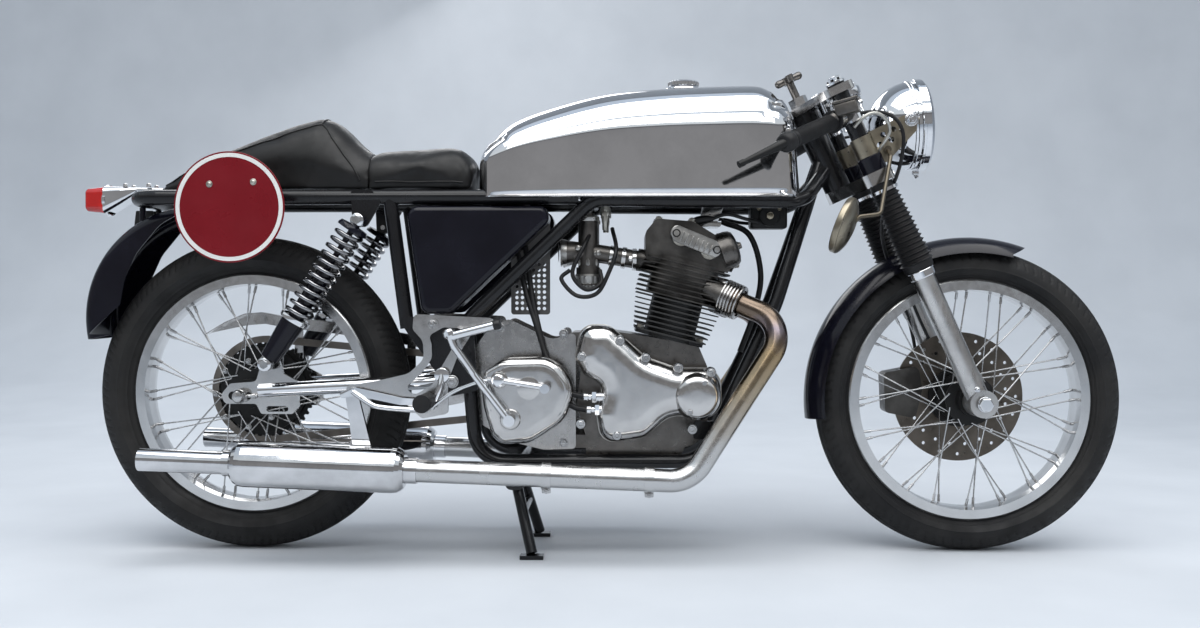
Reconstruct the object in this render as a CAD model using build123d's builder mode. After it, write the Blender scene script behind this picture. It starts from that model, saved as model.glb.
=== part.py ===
from build123d import *
from math import acos, atan2, cos, degrees, hypot, pi, radians, sin, tan
import os

os.makedirs("parts", exist_ok=True)

# A single-seat cafe racer: twin-cylinder engine, loop frame, wire wheels.
# Lengths are millimetres. X points forward, Y to the rider's left, Z up.
# The floor is Z = 0, the wheels stand in the plane Y = 0.

# Overall layout
wheelbase = 1450.0
front_tyre_radius = 306.0
rear_tyre_radius = 318.0
front_tyre_half_width = 43.0
rear_tyre_half_width = 48.0
tail_reach = 345.0
overall_length = tail_reach + wheelbase + front_tyre_radius
rear_axle_x = tail_reach - overall_length / 2
front_axle_x = rear_axle_x + wheelbase
rear_axle_z = rear_tyre_radius
front_axle_z = front_tyre_radius

# Clearances
seat_gap = 0.3
fit_gap = 0.05

# Rims and spokes
bead_radius = 228.6
flange_radius = 242.5
rim_well_radius = 219.0
rim_wall = 4.0
rim_half_width = 31.0
flange_inner_half = 26.5
spoke_count = 40
spoke_radius = 1.5
nipple_radius = 2.8
nipple_length = 15.0
spoke_cross_angle = 54.0

# Axles and hubs
axle_radius = 8.5
front_hub_half = 60.0
front_hub_radius = 30.0
hub_flange_radius = 50.0
hub_flange_thickness = 5.0
front_flange_y = 34.0
rear_hub_half = 72.0
rear_flange_y = 34.0
drum_radius = 88.0
drum_inner_y = 43.5
drum_width = 11.0
disc_radius = 134.0
disc_thickness = 5.0
disc_y = 57.0

# Front fork
rake = 24.5
fork_offset = 60.0
fork_half_track = 97.0
fork_tube_radius = 17.5
slider_radius = 22.0
slider_collar_radius = 26.0
slider_length = 286.0
slider_boss_radius = 27.0
gaiter_length = 184.0
gaiter_radius = 34.0
gaiter_top_radius = 27.0
gaiter_folds = 17
lower_yoke_height = 472.0
lower_yoke_thickness = 24.0
upper_yoke_height = 662.0
upper_yoke_thickness = 16.0
fork_top_height = 684.0
head_tube_radius = 27.0
head_gap = 0.3
stem_radius = 13.0

# Frame
frame_tube_radius = 14.0
rail_radius = 15.0
rail_z = 709.0
frame_half_track = 100.0
lower_rail_z = 190.0
swing_pivot_x = -285.0
swing_pivot_z = 348.0
swing_half_track = 92.0
swing_tube_radius = 14.5
axle_plate_thickness = 8.0
pivot_bolt_radius = 8.0
damper_bolt_radius = 5.0
damper_half_track = 124.0
damper_top_x = -467.0
damper_top_z = 662.0
damper_foot_x = rear_axle_x + 57.0
damper_foot_z = rear_axle_z + 64.0
stand_pin_radius = 8.0
stand_lug_y = 80.0
gusset_thickness = 6.0

# Final drive
chain_y = 62.0
chain_pitch = 15.875
chain_half_width = 7.0
roller_half = 2.8
rear_sprocket_teeth = 42
gearbox_sprocket_x = -135.0
gearbox_sprocket_z = 322.0
gearbox_sprocket_teeth = 20
sprocket_thickness = 5.0
axle_bore_radius = 5.0

# Stand
stand_pivot_x = -167.0
stand_pivot_z = 146.0
stand_foot_x = -131.0
stand_half_track = 72.0
stand_foot_half_track = 108.0
stand_tube_radius = 11.0

rake_sin = sin(radians(rake))
rake_cos = cos(radians(rake))
steering_foot_x = front_axle_x - fork_offset * rake_cos
steering_foot_z = front_axle_z - fork_offset * rake_sin
rear_sprocket_radius = chain_pitch / 2 / sin(pi / rear_sprocket_teeth)
gearbox_sprocket_radius = chain_pitch / 2 / sin(pi / gearbox_sprocket_teeth)


# Places along the fork
def on_steering_axis(height, forward=0.0, side=0.0):
    """A point given by its height along the steering axis and its offset ahead of it."""
    x = steering_foot_x - height * rake_sin + forward * rake_cos
    z = steering_foot_z + height * rake_cos + forward * rake_sin
    return (x, side, z)


def on_fork_leg(height, side):
    """A point on a fork leg's centre line, at a height above the wheel axle."""
    return on_steering_axis(height, fork_offset, side)


def yoke_plane(height):
    """The plane square to the steering axis, its local x pointing forward."""
    return Plane(
        origin=on_steering_axis(height),
        x_dir=(rake_cos, 0, rake_sin),
        z_dir=(-rake_sin, 0, rake_cos),
    )


# Shared forms
def rod(start, end, radius, mode=Mode.ADD):
    """A straight round rod."""
    run = Vector(*end) - Vector(*start)
    with Locations(Plane(origin=start, z_dir=run).location):
        Cylinder(radius, run.length, align=(Align.CENTER, Align.CENTER, Align.MIN), mode=mode)


def taper_rod(start, end, start_radius, end_radius, mode=Mode.ADD):
    """A straight round rod that changes radius along its length."""
    run = Vector(*end) - Vector(*start)
    with Locations(Plane(origin=start, z_dir=run).location):
        Cone(
            start_radius,
            end_radius,
            run.length,
            align=(Align.CENTER, Align.CENTER, Align.MIN),
            mode=mode,
        )


def bent_tube(points, radius, bend, mode=Mode.ADD):
    """A round tube of straight runs joined by tangent arcs."""
    with BuildLine() as route:
        FilletPolyline(*points, radius=bend)
    path = route.wire()
    with BuildSketch(Plane(origin=path @ 0, z_dir=path % 0)) as section:
        Circle(radius)
    sweep(section.sketch, path=path, mode=mode)


def side_plate(outline, low_y, high_y, mode=Mode.ADD):
    """A plate seen in the side view. The outline's columns are x, z and corner radius."""
    with BuildSketch(Plane.XZ.offset(-high_y)) as shape:
        with BuildLine():
            FilletPolyline(
                *[(x, z) for x, z, corner in outline],
                radius=[corner for x, z, corner in outline],
                close=True,
            )
        make_face()
    extrude(shape.sketch, amount=high_y - low_y, mode=mode)


def cross_rod(x, z, low_y, high_y, radius, mode=Mode.ADD):
    """A round rod running across the machine."""
    rod((x, low_y, z), (x, high_y, z), radius, mode)


def wheel_section(axle_x, axle_z):
    """The half plane in which a wheel's profile is drawn: local x across, local y outward."""
    return Plane(origin=(axle_x, 0, axle_z), x_dir=(0, 1, 0), z_dir=(1, 0, 0))


def turned_wheel_part(axle_x, axle_z, outline, mode=Mode.ADD):
    """A ring turned round a wheel's axle. The outline's columns are side and radius."""
    with BuildSketch(wheel_section(axle_x, axle_z)) as profile:
        with BuildLine():
            Polyline(*outline, close=True)
        make_face()
    revolve(profile.sketch, axis=Axis((axle_x, 0, axle_z), (0, 1, 0)), mode=mode)


# Tyres
def tyre(axle_x, axle_z, outer_radius, half_width):
    """A round-shouldered tyre. Its crown is an arc taken in even steps."""
    shoulder_radius = outer_radius - half_width * 0.92
    bulge = outer_radius - shoulder_radius
    crown_radius = (half_width**2 + bulge**2) / (2 * bulge)
    crown_half_angle = degrees(acos(1 - bulge / crown_radius))
    crown_steps = 8
    crown = [
        (
            crown_radius * sin(radians(crown_half_angle * (1 - 2 * step / crown_steps))),
            outer_radius
            - crown_radius
            + crown_radius * cos(radians(crown_half_angle * (1 - 2 * step / crown_steps))),
        )
        for step in range(crown_steps + 1)
    ]
    bead_half = flange_inner_half - seat_gap
    bead_top = flange_radius + 2.0
    outline = [(-bead_half, bead_radius + seat_gap), (bead_half, bead_radius + seat_gap)]
    outline += [(bead_half, bead_top)] + crown + [(-bead_half, bead_top)]
    turned_wheel_part(axle_x, axle_z, outline)


with BuildPart() as front_tyre:
    tyre(front_axle_x, front_axle_z, front_tyre_radius, front_tyre_half_width)
front_tyre.part.label = "front_tyre"
export_step(front_tyre.part, "parts/front_tyre.step")

with BuildPart() as rear_tyre:
    tyre(rear_axle_x, rear_axle_z, rear_tyre_radius, rear_tyre_half_width)
rear_tyre.part.label = "rear_tyre"
export_step(rear_tyre.part, "parts/rear_tyre.step")


# Rims
def rim(axle_x, axle_z):
    """A high-flanged alloy rim with a drop centre."""
    seat = bead_radius
    well = rim_well_radius + rim_wall
    half_well = 11.0
    outline = [
        (-rim_half_width, flange_radius - 3),
        (-rim_half_width + 2, flange_radius),
        (-flange_inner_half, flange_radius - 1),
        (-flange_inner_half, seat),
        (-half_well - 4, seat),
        (-half_well, well),
        (half_well, well),
        (half_well + 4, seat),
        (flange_inner_half, seat),
        (flange_inner_half, flange_radius - 1),
        (rim_half_width - 2, flange_radius),
        (rim_half_width, flange_radius - 3),
        (rim_half_width, seat - 7),
        (half_well + 4, rim_well_radius),
        (-half_well - 4, rim_well_radius),
        (-rim_half_width, seat - 7),
    ]
    turned_wheel_part(axle_x, axle_z, outline)


with BuildPart() as front_rim:
    rim(front_axle_x, front_axle_z)
front_rim.part.label = "front_rim"
export_step(front_rim.part, "parts/front_rim.step")

with BuildPart() as rear_rim:
    rim(rear_axle_x, rear_axle_z)
rear_rim.part.label = "rear_rim"
export_step(rear_rim.part, "parts/rear_rim.step")


# Spokes
def spokes(axle_x, axle_z, flange_y):
    """Crossed wire spokes: each lies against a hub flange and ends in a nipple at the rim."""
    per_flange = spoke_count // 2
    seat_side = hub_flange_thickness / 2 + spoke_radius
    hub_end = hub_flange_radius - 5.0
    rim_end = rim_well_radius - 1.0
    for side in (-1, 1):
        for index in range(per_flange):
            outward = 1 if index % 2 else -1
            turn = spoke_cross_angle * outward
            offset = 180.0 / spoke_count if side > 0 else 0.0
            hub_angle = radians(index * 360.0 / per_flange + offset)
            rim_angle = hub_angle + radians(turn)
            lean_gap = 1.8 if outward > 0 else seat_gap
            hub_y = side * (flange_y + outward * (seat_side + lean_gap))
            rim_y = side * (7.5 + outward * 2.5)
            start = Vector(
                axle_x + hub_end * cos(hub_angle), hub_y, axle_z + hub_end * sin(hub_angle)
            )
            end = Vector(
                axle_x + rim_end * cos(rim_angle), rim_y, axle_z + rim_end * sin(rim_angle)
            )
            along = (end - start).normalized()
            nipple_start = end - along * nipple_length
            rod(tuple(start), tuple(nipple_start + along), spoke_radius)
            rod(tuple(nipple_start), tuple(end), nipple_radius)


with BuildPart() as front_spokes:
    spokes(front_axle_x, front_axle_z, front_flange_y)
front_spokes.part.label = "front_spokes"
export_step(front_spokes.part, "parts/front_spokes.step")

with BuildPart() as rear_spokes:
    spokes(rear_axle_x, rear_axle_z, rear_flange_y)
rear_spokes.part.label = "rear_spokes"
export_step(rear_spokes.part, "parts/rear_spokes.step")


# Hubs, brake disc and sprocket
def sprocket(axle_x, axle_z, teeth, thickness, bore_radius):
    """A toothed plate in the chain's plane."""
    pitch_radius = chain_pitch / 2 / sin(pi / teeth)
    tip_radius = pitch_radius - roller_half - 0.4
    root_radius = tip_radius - 6.5
    tooth = radians(360.0 / teeth)
    outline = []
    for index in range(teeth):
        start = index * tooth
        for share, radius in (
            (0.15, root_radius),
            (0.38, tip_radius),
            (0.62, tip_radius),
            (0.85, root_radius),
        ):
            angle = start + share * tooth
            outline.append((axle_x + radius * cos(angle), axle_z + radius * sin(angle)))
    with BuildSketch(Plane.XZ.offset(-(chain_y + thickness / 2))) as plate:
        Polygon(*outline, align=None)
        with Locations((axle_x, axle_z)):
            Circle(bore_radius, mode=Mode.SUBTRACT)
    extrude(plate.sketch, amount=thickness)


def hub_barrel(axle_x, axle_z, half_length, barrel_radius, flange_y):
    """A hub with two spoke flanges, bored for its axle."""
    cross_rod(axle_x, axle_z, -half_length, half_length, barrel_radius)
    for side in (-1, 1):
        cross_rod(
            axle_x,
            axle_z,
            side * flange_y - hub_flange_thickness / 2,
            side * flange_y + hub_flange_thickness / 2,
            hub_flange_radius,
        )


with BuildPart() as front_hub:
    hub_barrel(front_axle_x, front_axle_z, front_hub_half, front_hub_radius, front_flange_y)
    disc_carrier_y = disc_y - disc_thickness / 2 - seat_gap
    cross_rod(front_axle_x, front_axle_z, disc_carrier_y - 8, disc_carrier_y, 62.0)
    cross_rod(
        front_axle_x, front_axle_z, -front_hub_half, front_hub_half, axle_radius + fit_gap, Mode.SUBTRACT
    )
front_hub.part.label = "front_hub"
export_step(front_hub.part, "parts/front_hub.step")

with BuildPart() as brake_disc:
    cross_rod(
        front_axle_x,
        front_axle_z,
        disc_y - disc_thickness / 2,
        disc_y + disc_thickness / 2,
        disc_radius,
    )
    cross_rod(
        front_axle_x, front_axle_z, disc_y - disc_thickness, disc_y + disc_thickness, 46.0, Mode.SUBTRACT
    )
    with Locations(Plane(origin=(front_axle_x, disc_y, front_axle_z), z_dir=(0, 1, 0)).location):
        with PolarLocations(disc_radius - 14, 20):
            Cylinder(3.5, disc_thickness * 2, mode=Mode.SUBTRACT)
        with PolarLocations(disc_radius - 34, 20, start_angle=9):
            Cylinder(3.5, disc_thickness * 2, mode=Mode.SUBTRACT)
brake_disc.part.label = "brake_disc"
export_step(brake_disc.part, "parts/brake_disc.step")

with BuildPart() as rear_hub:
    hub_barrel(rear_axle_x, rear_axle_z, rear_hub_half, front_hub_radius, rear_flange_y)
    cross_rod(rear_axle_x, rear_axle_z, drum_inner_y, drum_inner_y + drum_width, drum_radius)
    cross_rod(
        rear_axle_x,
        rear_axle_z,
        -rear_hub_half,
        rear_hub_half,
        axle_radius + fit_gap,
        Mode.SUBTRACT,
    )
    sprocket(rear_axle_x, rear_axle_z, rear_sprocket_teeth, sprocket_thickness, front_hub_radius - 4)
rear_hub.part.label = "rear_hub"
export_step(rear_hub.part, "parts/rear_hub.step")


# Front fork, axle and yokes
with BuildPart() as front_axle:
    axle_end_y = fork_half_track + slider_boss_radius + 6
    cross_rod(front_axle_x, front_axle_z, -axle_end_y, axle_end_y, axle_radius)
    for side in (-1, 1):
        spacer_inner = side * (front_hub_half + seat_gap)
        spacer_outer = side * (fork_half_track - slider_boss_radius - seat_gap)
        cross_rod(
            front_axle_x,
            front_axle_z,
            min(spacer_inner, spacer_outer),
            max(spacer_inner, spacer_outer),
            14.0,
        )
        nut_inner = side * (fork_half_track + slider_boss_radius + seat_gap)
        nut_outer = side * (fork_half_track + slider_boss_radius + 11)
        with BuildSketch(
            Plane(origin=(front_axle_x, nut_inner, front_axle_z), z_dir=(0, side, 0))
        ) as nut:
            RegularPolygon(14.0, 6)
        extrude(nut.sketch, amount=abs(nut_outer - nut_inner))
    cross_rod(
        front_axle_x,
        front_axle_z,
        -axle_end_y - 20,
        axle_end_y + 20,
        axle_bore_radius,
        Mode.SUBTRACT,
    )
front_axle.part.label = "front_axle"
export_step(front_axle.part, "parts/front_axle.step")

with BuildPart() as fork_sliders:
    for side in (-1, 1):
        y = side * fork_half_track
        rod(on_fork_leg(0, y), on_fork_leg(slider_length, y), slider_radius)
        rod(on_fork_leg(slider_length - 16, y), on_fork_leg(slider_length, y), slider_collar_radius)
        cross_rod(
            front_axle_x, front_axle_z, y - slider_boss_radius, y + slider_boss_radius, slider_boss_radius
        )
        rod(
            on_fork_leg(40, y),
            on_fork_leg(slider_length + 5, y),
            fork_tube_radius + fit_gap,
            Mode.SUBTRACT,
        )
    cross_rod(
        front_axle_x,
        front_axle_z,
        -fork_half_track * 2,
        fork_half_track * 2,
        axle_radius + fit_gap,
        Mode.SUBTRACT,
    )
fork_sliders.part.label = "fork_sliders"
export_step(fork_sliders.part, "parts/fork_sliders.step")

with BuildPart() as fork_tubes:
    for side in (-1, 1):
        y = side * fork_half_track
        rod(on_fork_leg(42, y), on_fork_leg(fork_top_height, y), fork_tube_radius)
        with BuildSketch(
            Plane(origin=on_fork_leg(fork_top_height, y), z_dir=(-rake_sin, 0, rake_cos))
        ) as cap:
            RegularPolygon(15.0, 6)
        extrude(cap.sketch, amount=9.0)
fork_tubes.part.label = "fork_tubes"
export_step(fork_tubes.part, "parts/fork_tubes.step")

with BuildPart() as fork_gaiters:
    gaiter_base = slider_length + seat_gap
    fold_height = (gaiter_length - 24.0) / gaiter_folds
    for side in (-1, 1):
        leg = Plane(
            origin=on_fork_leg(gaiter_base, side * fork_half_track),
            x_dir=(rake_cos, 0, rake_sin),
            z_dir=(0, -1, 0),
        )
        bore = fork_tube_radius + seat_gap
        outline = [(bore, 0), (slider_collar_radius + 2, 0), (slider_collar_radius + 2, 12.0)]
        for fold in range(gaiter_folds):
            base = 12.0 + fold * fold_height
            share = fold / (gaiter_folds - 1)
            crest = gaiter_radius + (gaiter_top_radius - gaiter_radius) * share
            outline.append((crest - 5.0, base + fold_height * 0.12))
            outline.append((crest, base + fold_height * 0.5))
            outline.append((crest - 5.0, base + fold_height * 0.88))
        outline += [(gaiter_top_radius - 4, gaiter_length - 12), (gaiter_top_radius - 4, gaiter_length)]
        outline.append((bore, gaiter_length))
        with BuildSketch(leg) as profile:
            with BuildLine():
                Polyline(*outline, close=True)
            make_face()
        revolve(
            profile.sketch,
            axis=Axis(on_fork_leg(gaiter_base, side * fork_half_track), (-rake_sin, 0, rake_cos)),
        )
fork_gaiters.part.label = "fork_gaiters"
export_step(fork_gaiters.part, "parts/fork_gaiters.step")

with BuildPart() as fork_yokes:
    for height, thickness, corner in (
        (lower_yoke_height, lower_yoke_thickness, 16.0),
        (upper_yoke_height, upper_yoke_thickness, 14.0),
    ):
        with BuildSketch(yoke_plane(height)) as plate:
            with BuildLine():
                FilletPolyline(
                    (-26, 17),
                    (-26, -17),
                    (fork_offset - 30, -fork_half_track - 28),
                    (fork_offset + 28, -fork_half_track - 28),
                    (fork_offset + 28, -fork_half_track + 22),
                    (fork_offset - 14, -fork_half_track + 50),
                    (fork_offset - 14, fork_half_track - 50),
                    (fork_offset + 28, fork_half_track - 22),
                    (fork_offset + 28, fork_half_track + 28),
                    (fork_offset - 30, fork_half_track + 28),
                    radius=corner,
                    close=True,
                )
            make_face()
        extrude(plate.sketch, amount=thickness)
    rod(on_steering_axis(lower_yoke_height + 2), on_steering_axis(fork_top_height + 4), stem_radius)
    with BuildSketch(yoke_plane(upper_yoke_height + upper_yoke_thickness)) as nut:
        RegularPolygon(19.0, 6)
    extrude(nut.sketch, amount=20.0)
    for side in (-1, 1):
        y = side * fork_half_track
        rod(
            on_fork_leg(0, y),
            on_fork_leg(fork_top_height + 40, y),
            fork_tube_radius + fit_gap,
            Mode.SUBTRACT,
        )
fork_yokes.part.label = "fork_yokes"
export_step(fork_yokes.part, "parts/fork_yokes.step")

damper_base = upper_yoke_height + upper_yoke_thickness + 20.0
with BuildPart() as steering_damper:
    rod(on_steering_axis(damper_base + seat_gap), on_steering_axis(damper_base + 34), 8.0)
    with BuildSketch(yoke_plane(damper_base + 34 - fit_gap)) as bar:
        SlotOverall(26.0, 18.0)
        SlotOverall(58.0, 15.0, rotation=90)
    extrude(bar.sketch, amount=14.0)
steering_damper.part.label = "steering_damper"
export_step(steering_damper.part, "parts/steering_damper.step")

# Handlebars, one clamped to each fork tube below the upper yoke
bar_clamp_half = 18.0
bar_clamp_drop = 26.0
bar_clamp_height = upper_yoke_height - bar_clamp_half - bar_clamp_drop
grip_bend = Vector(-0.626, 0.706, -0.325).normalized()
bar_radius = 11.0
bar_length = 222.0
grip_start = 62.0
grip_radius = 15.5
with BuildPart() as clip_on_bars:
    for side in (-1, 1):
        y = side * fork_half_track
        rod(
            on_fork_leg(bar_clamp_height - bar_clamp_half, y),
            on_fork_leg(bar_clamp_height + bar_clamp_half, y),
            fork_tube_radius + 8,
        )
        clamp = Vector(*on_fork_leg(bar_clamp_height, y))
        way = Vector(grip_bend.X, side * grip_bend.Y, grip_bend.Z)
        rod(tuple(clamp), tuple(clamp + way * bar_length), bar_radius)
        rod(
            on_fork_leg(bar_clamp_height - 60, y),
            on_fork_leg(bar_clamp_height + 60, y),
            fork_tube_radius + fit_gap,
            Mode.SUBTRACT,
        )
clip_on_bars.part.label = "clip_on_bars"
export_step(clip_on_bars.part, "parts/clip_on_bars.step")

with BuildPart() as grips:
    for side in (-1, 1):
        clamp = Vector(*on_fork_leg(bar_clamp_height, side * fork_half_track))
        way = Vector(grip_bend.X, side * grip_bend.Y, grip_bend.Z)
        inner = clamp + way * grip_start
        outer = clamp + way * (bar_length - 12)
        rod(tuple(inner), tuple(outer), grip_radius)
        rod(tuple(inner), tuple(inner + way * 6), grip_radius + 6)
        rod(tuple(inner - way), tuple(outer + way), bar_radius + fit_gap, Mode.SUBTRACT)
grips.part.label = "grips"
export_step(grips.part, "parts/grips.step")

with BuildPart() as levers:
    for side in (-1, 1):
        clamp = Vector(*on_fork_leg(bar_clamp_height, side * fork_half_track))
        way = Vector(grip_bend.X, side * grip_bend.Y, grip_bend.Z)
        perch = clamp + way * (bar_length - 11)
        perch_end = clamp + way * (bar_length + 16)
        rod(tuple(perch), tuple(perch_end), grip_radius + 1.5)
        rod(
            tuple(perch - way),
            tuple(clamp + way * (bar_length + fit_gap)),
            bar_radius + fit_gap,
            Mode.SUBTRACT,
        )
        blade_way = Vector(-0.86, side * 0.28, -0.42).normalized()
        blade_end = perch_end + blade_way * 92
        taper_rod(tuple(perch_end - blade_way * 6), tuple(blade_end), 10.0, 5.0)
        rod(tuple(blade_end - blade_way * 4), tuple(blade_end + blade_way * 7), 6.5)
levers.part.label = "levers"
export_step(levers.part, "parts/levers.step")

# Instruments, two small pods ahead of the upper yoke
gauge_radius = 27.0
gauge_depth = 50.0
gauge_half_track = 32.0
gauge_foot_height = 620.0
gauge_forward = 81.0
gauge_lean = 16.0
with BuildPart() as gauges:
    gauge_tilt = Vector(-sin(radians(gauge_lean)), 0, cos(radians(gauge_lean)))
    for side in (-1, 1):
        foot = Vector(*on_steering_axis(gauge_foot_height, gauge_forward, side * gauge_half_track))
        rod(tuple(foot), tuple(foot + gauge_tilt * gauge_depth), gauge_radius - 2)
        rod(
            tuple(foot + gauge_tilt * (gauge_depth - 12)),
            tuple(foot + gauge_tilt * gauge_depth),
            gauge_radius,
        )
        rod(
            tuple(foot + gauge_tilt * (gauge_depth - 3)),
            tuple(foot + gauge_tilt * (gauge_depth + 5)),
            gauge_radius - 4,
            Mode.SUBTRACT,
        )
    with BuildSketch(yoke_plane(gauge_foot_height - 6)) as cup_plate:
        with Locations((gauge_forward - 10, 0)):
            RectangleRounded(64.0, 118.0, 14.0)
    extrude(cup_plate.sketch, amount=9.0)
    post_top = upper_yoke_height - seat_gap
    for side in (-1, 1):
        post_foot = on_steering_axis(gauge_foot_height - 4, 34, side * 34)
        rod(post_foot, on_steering_axis(post_top, 34, side * 34), 5.0)
        with BuildSketch(yoke_plane(gauge_foot_height - 6)) as arm:
            with Locations((40, side * 34)):
                RectangleRounded(30.0, 16.0, 6.0)
        extrude(arm.sketch, amount=9.0)
gauges.part.label = "gauges"
export_step(gauges.part, "parts/gauges.step")

# Headlamp on drilled plates
lamp_centre_x = 634.0
lamp_centre_z = 860.0
lamp_radius = 91.0
lamp_tilt = 4.0
lamp_way = Vector(cos(radians(lamp_tilt)), 0, sin(radians(lamp_tilt)))
lamp_plane = Plane(origin=(lamp_centre_x, 0, lamp_centre_z), x_dir=(0, 1, 0), z_dir=tuple(lamp_way))
bowl_edge = -14.0
bowl_rim = lamp_radius - 3
bowl_depth = lamp_radius
bowl_centre = (bowl_edge**2 + bowl_rim**2 - bowl_depth**2) / (2 * (bowl_edge + bowl_depth))
bowl_radius = bowl_depth + bowl_centre
bowl_mid = (pi + atan2(bowl_rim, bowl_edge - bowl_centre)) / 2
with BuildPart() as headlamp_shell:
    with BuildSketch(
        Plane(origin=(lamp_centre_x, 0, lamp_centre_z), x_dir=tuple(lamp_way), z_dir=(0, -1, 0))
    ) as bowl:
        with BuildLine():
            Polyline((-bowl_depth, 0), (0, 0), (0, bowl_rim), (bowl_edge, bowl_rim))
            ThreePointArc(
                (bowl_edge, bowl_rim),
                (bowl_centre + bowl_radius * cos(bowl_mid), bowl_radius * sin(bowl_mid)),
                (-bowl_depth, 0),
            )
        make_face()
    revolve(bowl.sketch, axis=Axis((lamp_centre_x, 0, lamp_centre_z), tuple(lamp_way)))
headlamp_shell.part.label = "headlamp_shell"
export_step(headlamp_shell.part, "parts/headlamp_shell.step")

with BuildPart() as headlamp_rim:
    with BuildSketch(lamp_plane.offset(seat_gap)) as band:
        Circle(lamp_radius + 1.5)
        Circle(lamp_radius - 7, mode=Mode.SUBTRACT)
    extrude(band.sketch, amount=22.0)
    chamfer(headlamp_rim.faces().sort_by(Axis.X)[-1].edges().sort_by(SortBy.RADIUS)[-1], 6.0)
headlamp_rim.part.label = "headlamp_rim"
export_step(headlamp_rim.part, "parts/headlamp_rim.step")

lens_radius = lamp_radius - 7.3
lens_crown = 20.0
lens_sphere = (lens_radius**2 + lens_crown**2) / (2 * lens_crown)
lens_back = 14.0
lens_edge = 17.0
lens_mid = atan2(lens_radius, lens_sphere - lens_crown) / 2
with BuildPart() as headlamp_lens:
    with BuildSketch(
        Plane(origin=(lamp_centre_x, 0, lamp_centre_z), x_dir=tuple(lamp_way), z_dir=(0, -1, 0))
    ) as dome:
        with BuildLine():
            Polyline(
                (lens_edge + lens_crown, 0),
                (lens_back, 0),
                (lens_back, lens_radius),
                (lens_edge, lens_radius),
            )
            ThreePointArc(
                (lens_edge, lens_radius),
                (
                    lens_edge + lens_crown - lens_sphere * (1 - cos(lens_mid)),
                    lens_sphere * sin(lens_mid),
                ),
                (lens_edge + lens_crown, 0),
            )
        make_face()
    revolve(dome.sketch, axis=Axis((lamp_centre_x, 0, lamp_centre_z), tuple(lamp_way)))
headlamp_lens.part.label = "headlamp_lens"
export_step(headlamp_lens.part, "parts/headlamp_lens.step")

lamp_bolt = Vector(lamp_centre_x, 0, lamp_centre_z) - lamp_way * 26
lamp_bracket_y = 91.0
lamp_bracket_thickness = 3.0
lamp_ring_height = 548.0
with BuildPart() as headlamp_brackets:
    for side in (-1, 1):
        low_y = min(side * lamp_bracket_y, side * (lamp_bracket_y + lamp_bracket_thickness))
        high_y = low_y + lamp_bracket_thickness
        ring = Vector(*on_fork_leg(lamp_ring_height, 0))
        outline = [
            (lamp_bolt.X + 12, lamp_bolt.Z + 12, 9.0),
            (lamp_bolt.X - 16, lamp_bolt.Z + 8, 9.0),
            (ring.X, ring.Z + 26, 6.0),
            (ring.X, ring.Z - 18, 6.0),
            (ring.X + 44, ring.Z - 30, 9.0),
            (lamp_bolt.X + 12, lamp_bolt.Z - 20, 9.0),
        ]
        side_plate(outline, low_y, high_y)
        leg_y = side * fork_half_track
        rod(
            on_fork_leg(lamp_ring_height - 20, leg_y),
            on_fork_leg(lamp_ring_height + 20, leg_y),
            fork_tube_radius + 4,
        )
        rod(
            on_fork_leg(lamp_ring_height - 60, leg_y),
            on_fork_leg(lamp_ring_height + 60, leg_y),
            fork_tube_radius + fit_gap,
            Mode.SUBTRACT,
        )
        for along, up, radius in (
            (0.24, -2, 6.5),
            (0.30, 15, 5.5),
            (0.48, -4, 6.0),
            (0.52, 14, 5.5),
            (0.70, 2, 5.0),
        ):
            hole = ring + (lamp_bolt - ring) * along
            cross_rod(hole.X + 10, hole.Z + up - 6, low_y - 5, high_y + 5, radius, Mode.SUBTRACT)
        bolt_inner = side * (lamp_bracket_y - 16)
        bolt_outer = side * (lamp_bracket_y + 9)
        cross_rod(
            lamp_bolt.X,
            lamp_bolt.Z,
            min(bolt_inner, bolt_outer),
            max(bolt_inner, bolt_outer),
            7.0,
        )
    shell_clear = Vector(lamp_centre_x, 0, lamp_centre_z)
    rod(
        tuple(shell_clear - lamp_way * 60),
        tuple(shell_clear + lamp_way * 30),
        lamp_radius - 3 + fit_gap,
        Mode.SUBTRACT,
    )
headlamp_brackets.part.label = "headlamp_brackets"
export_step(headlamp_brackets.part, "parts/headlamp_brackets.step")

# Mirror hung below the right lamp bracket
mirror_centre = Vector(455.0, -205.0, 647.0)
mirror_back_way = Vector(0.874, -0.32, -0.362).normalized()
mirror_radius = 53.0
mirror_arm_radius = 4.0
with BuildPart() as mirror:
    arm_y = -lamp_bracket_y - lamp_bracket_thickness - 1.8
    hub = mirror_centre + mirror_back_way * 14
    bent_tube(
        [
            (562.0, arm_y, 800.0),
            (562.0, arm_y - 30, 784.0),
            (526.0, mirror_centre.Y + 3, 667.0),
            (hub.X + 18, hub.Y, 662.0),
            tuple(hub),
        ],
        mirror_arm_radius,
        [10, 14, 9],
    )
    cross_rod(562.0, 800.0, arm_y - 8, -lamp_bracket_y - lamp_bracket_thickness - fit_gap, 7.0)
    mirror_plane = Plane(
        origin=tuple(mirror_centre),
        x_dir=(0.32, 0.947, 0),
        z_dir=tuple(mirror_back_way),
    )
    with BuildSketch(mirror_plane) as glass_back:
        Circle(mirror_radius)
    extrude(glass_back.sketch, amount=8.0)
    extrude(glass_back.sketch, amount=-3.0)
    with BuildSketch(mirror_plane.offset(8.0)) as back_cap:
        Circle(mirror_radius - 14)
    extrude(back_cap.sketch, amount=8.0)
mirror.part.label = "mirror"
export_step(mirror.part, "parts/mirror.step")

# Front mudguard, a curved channel held inside the fork legs
mudguard_front_angle = 67.5
mudguard_rear_angle = 187.0
front_guard_radius = 328.0
front_guard_half = 54.0
guard_wall = 2.5
guard_depth = 33.0


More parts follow.
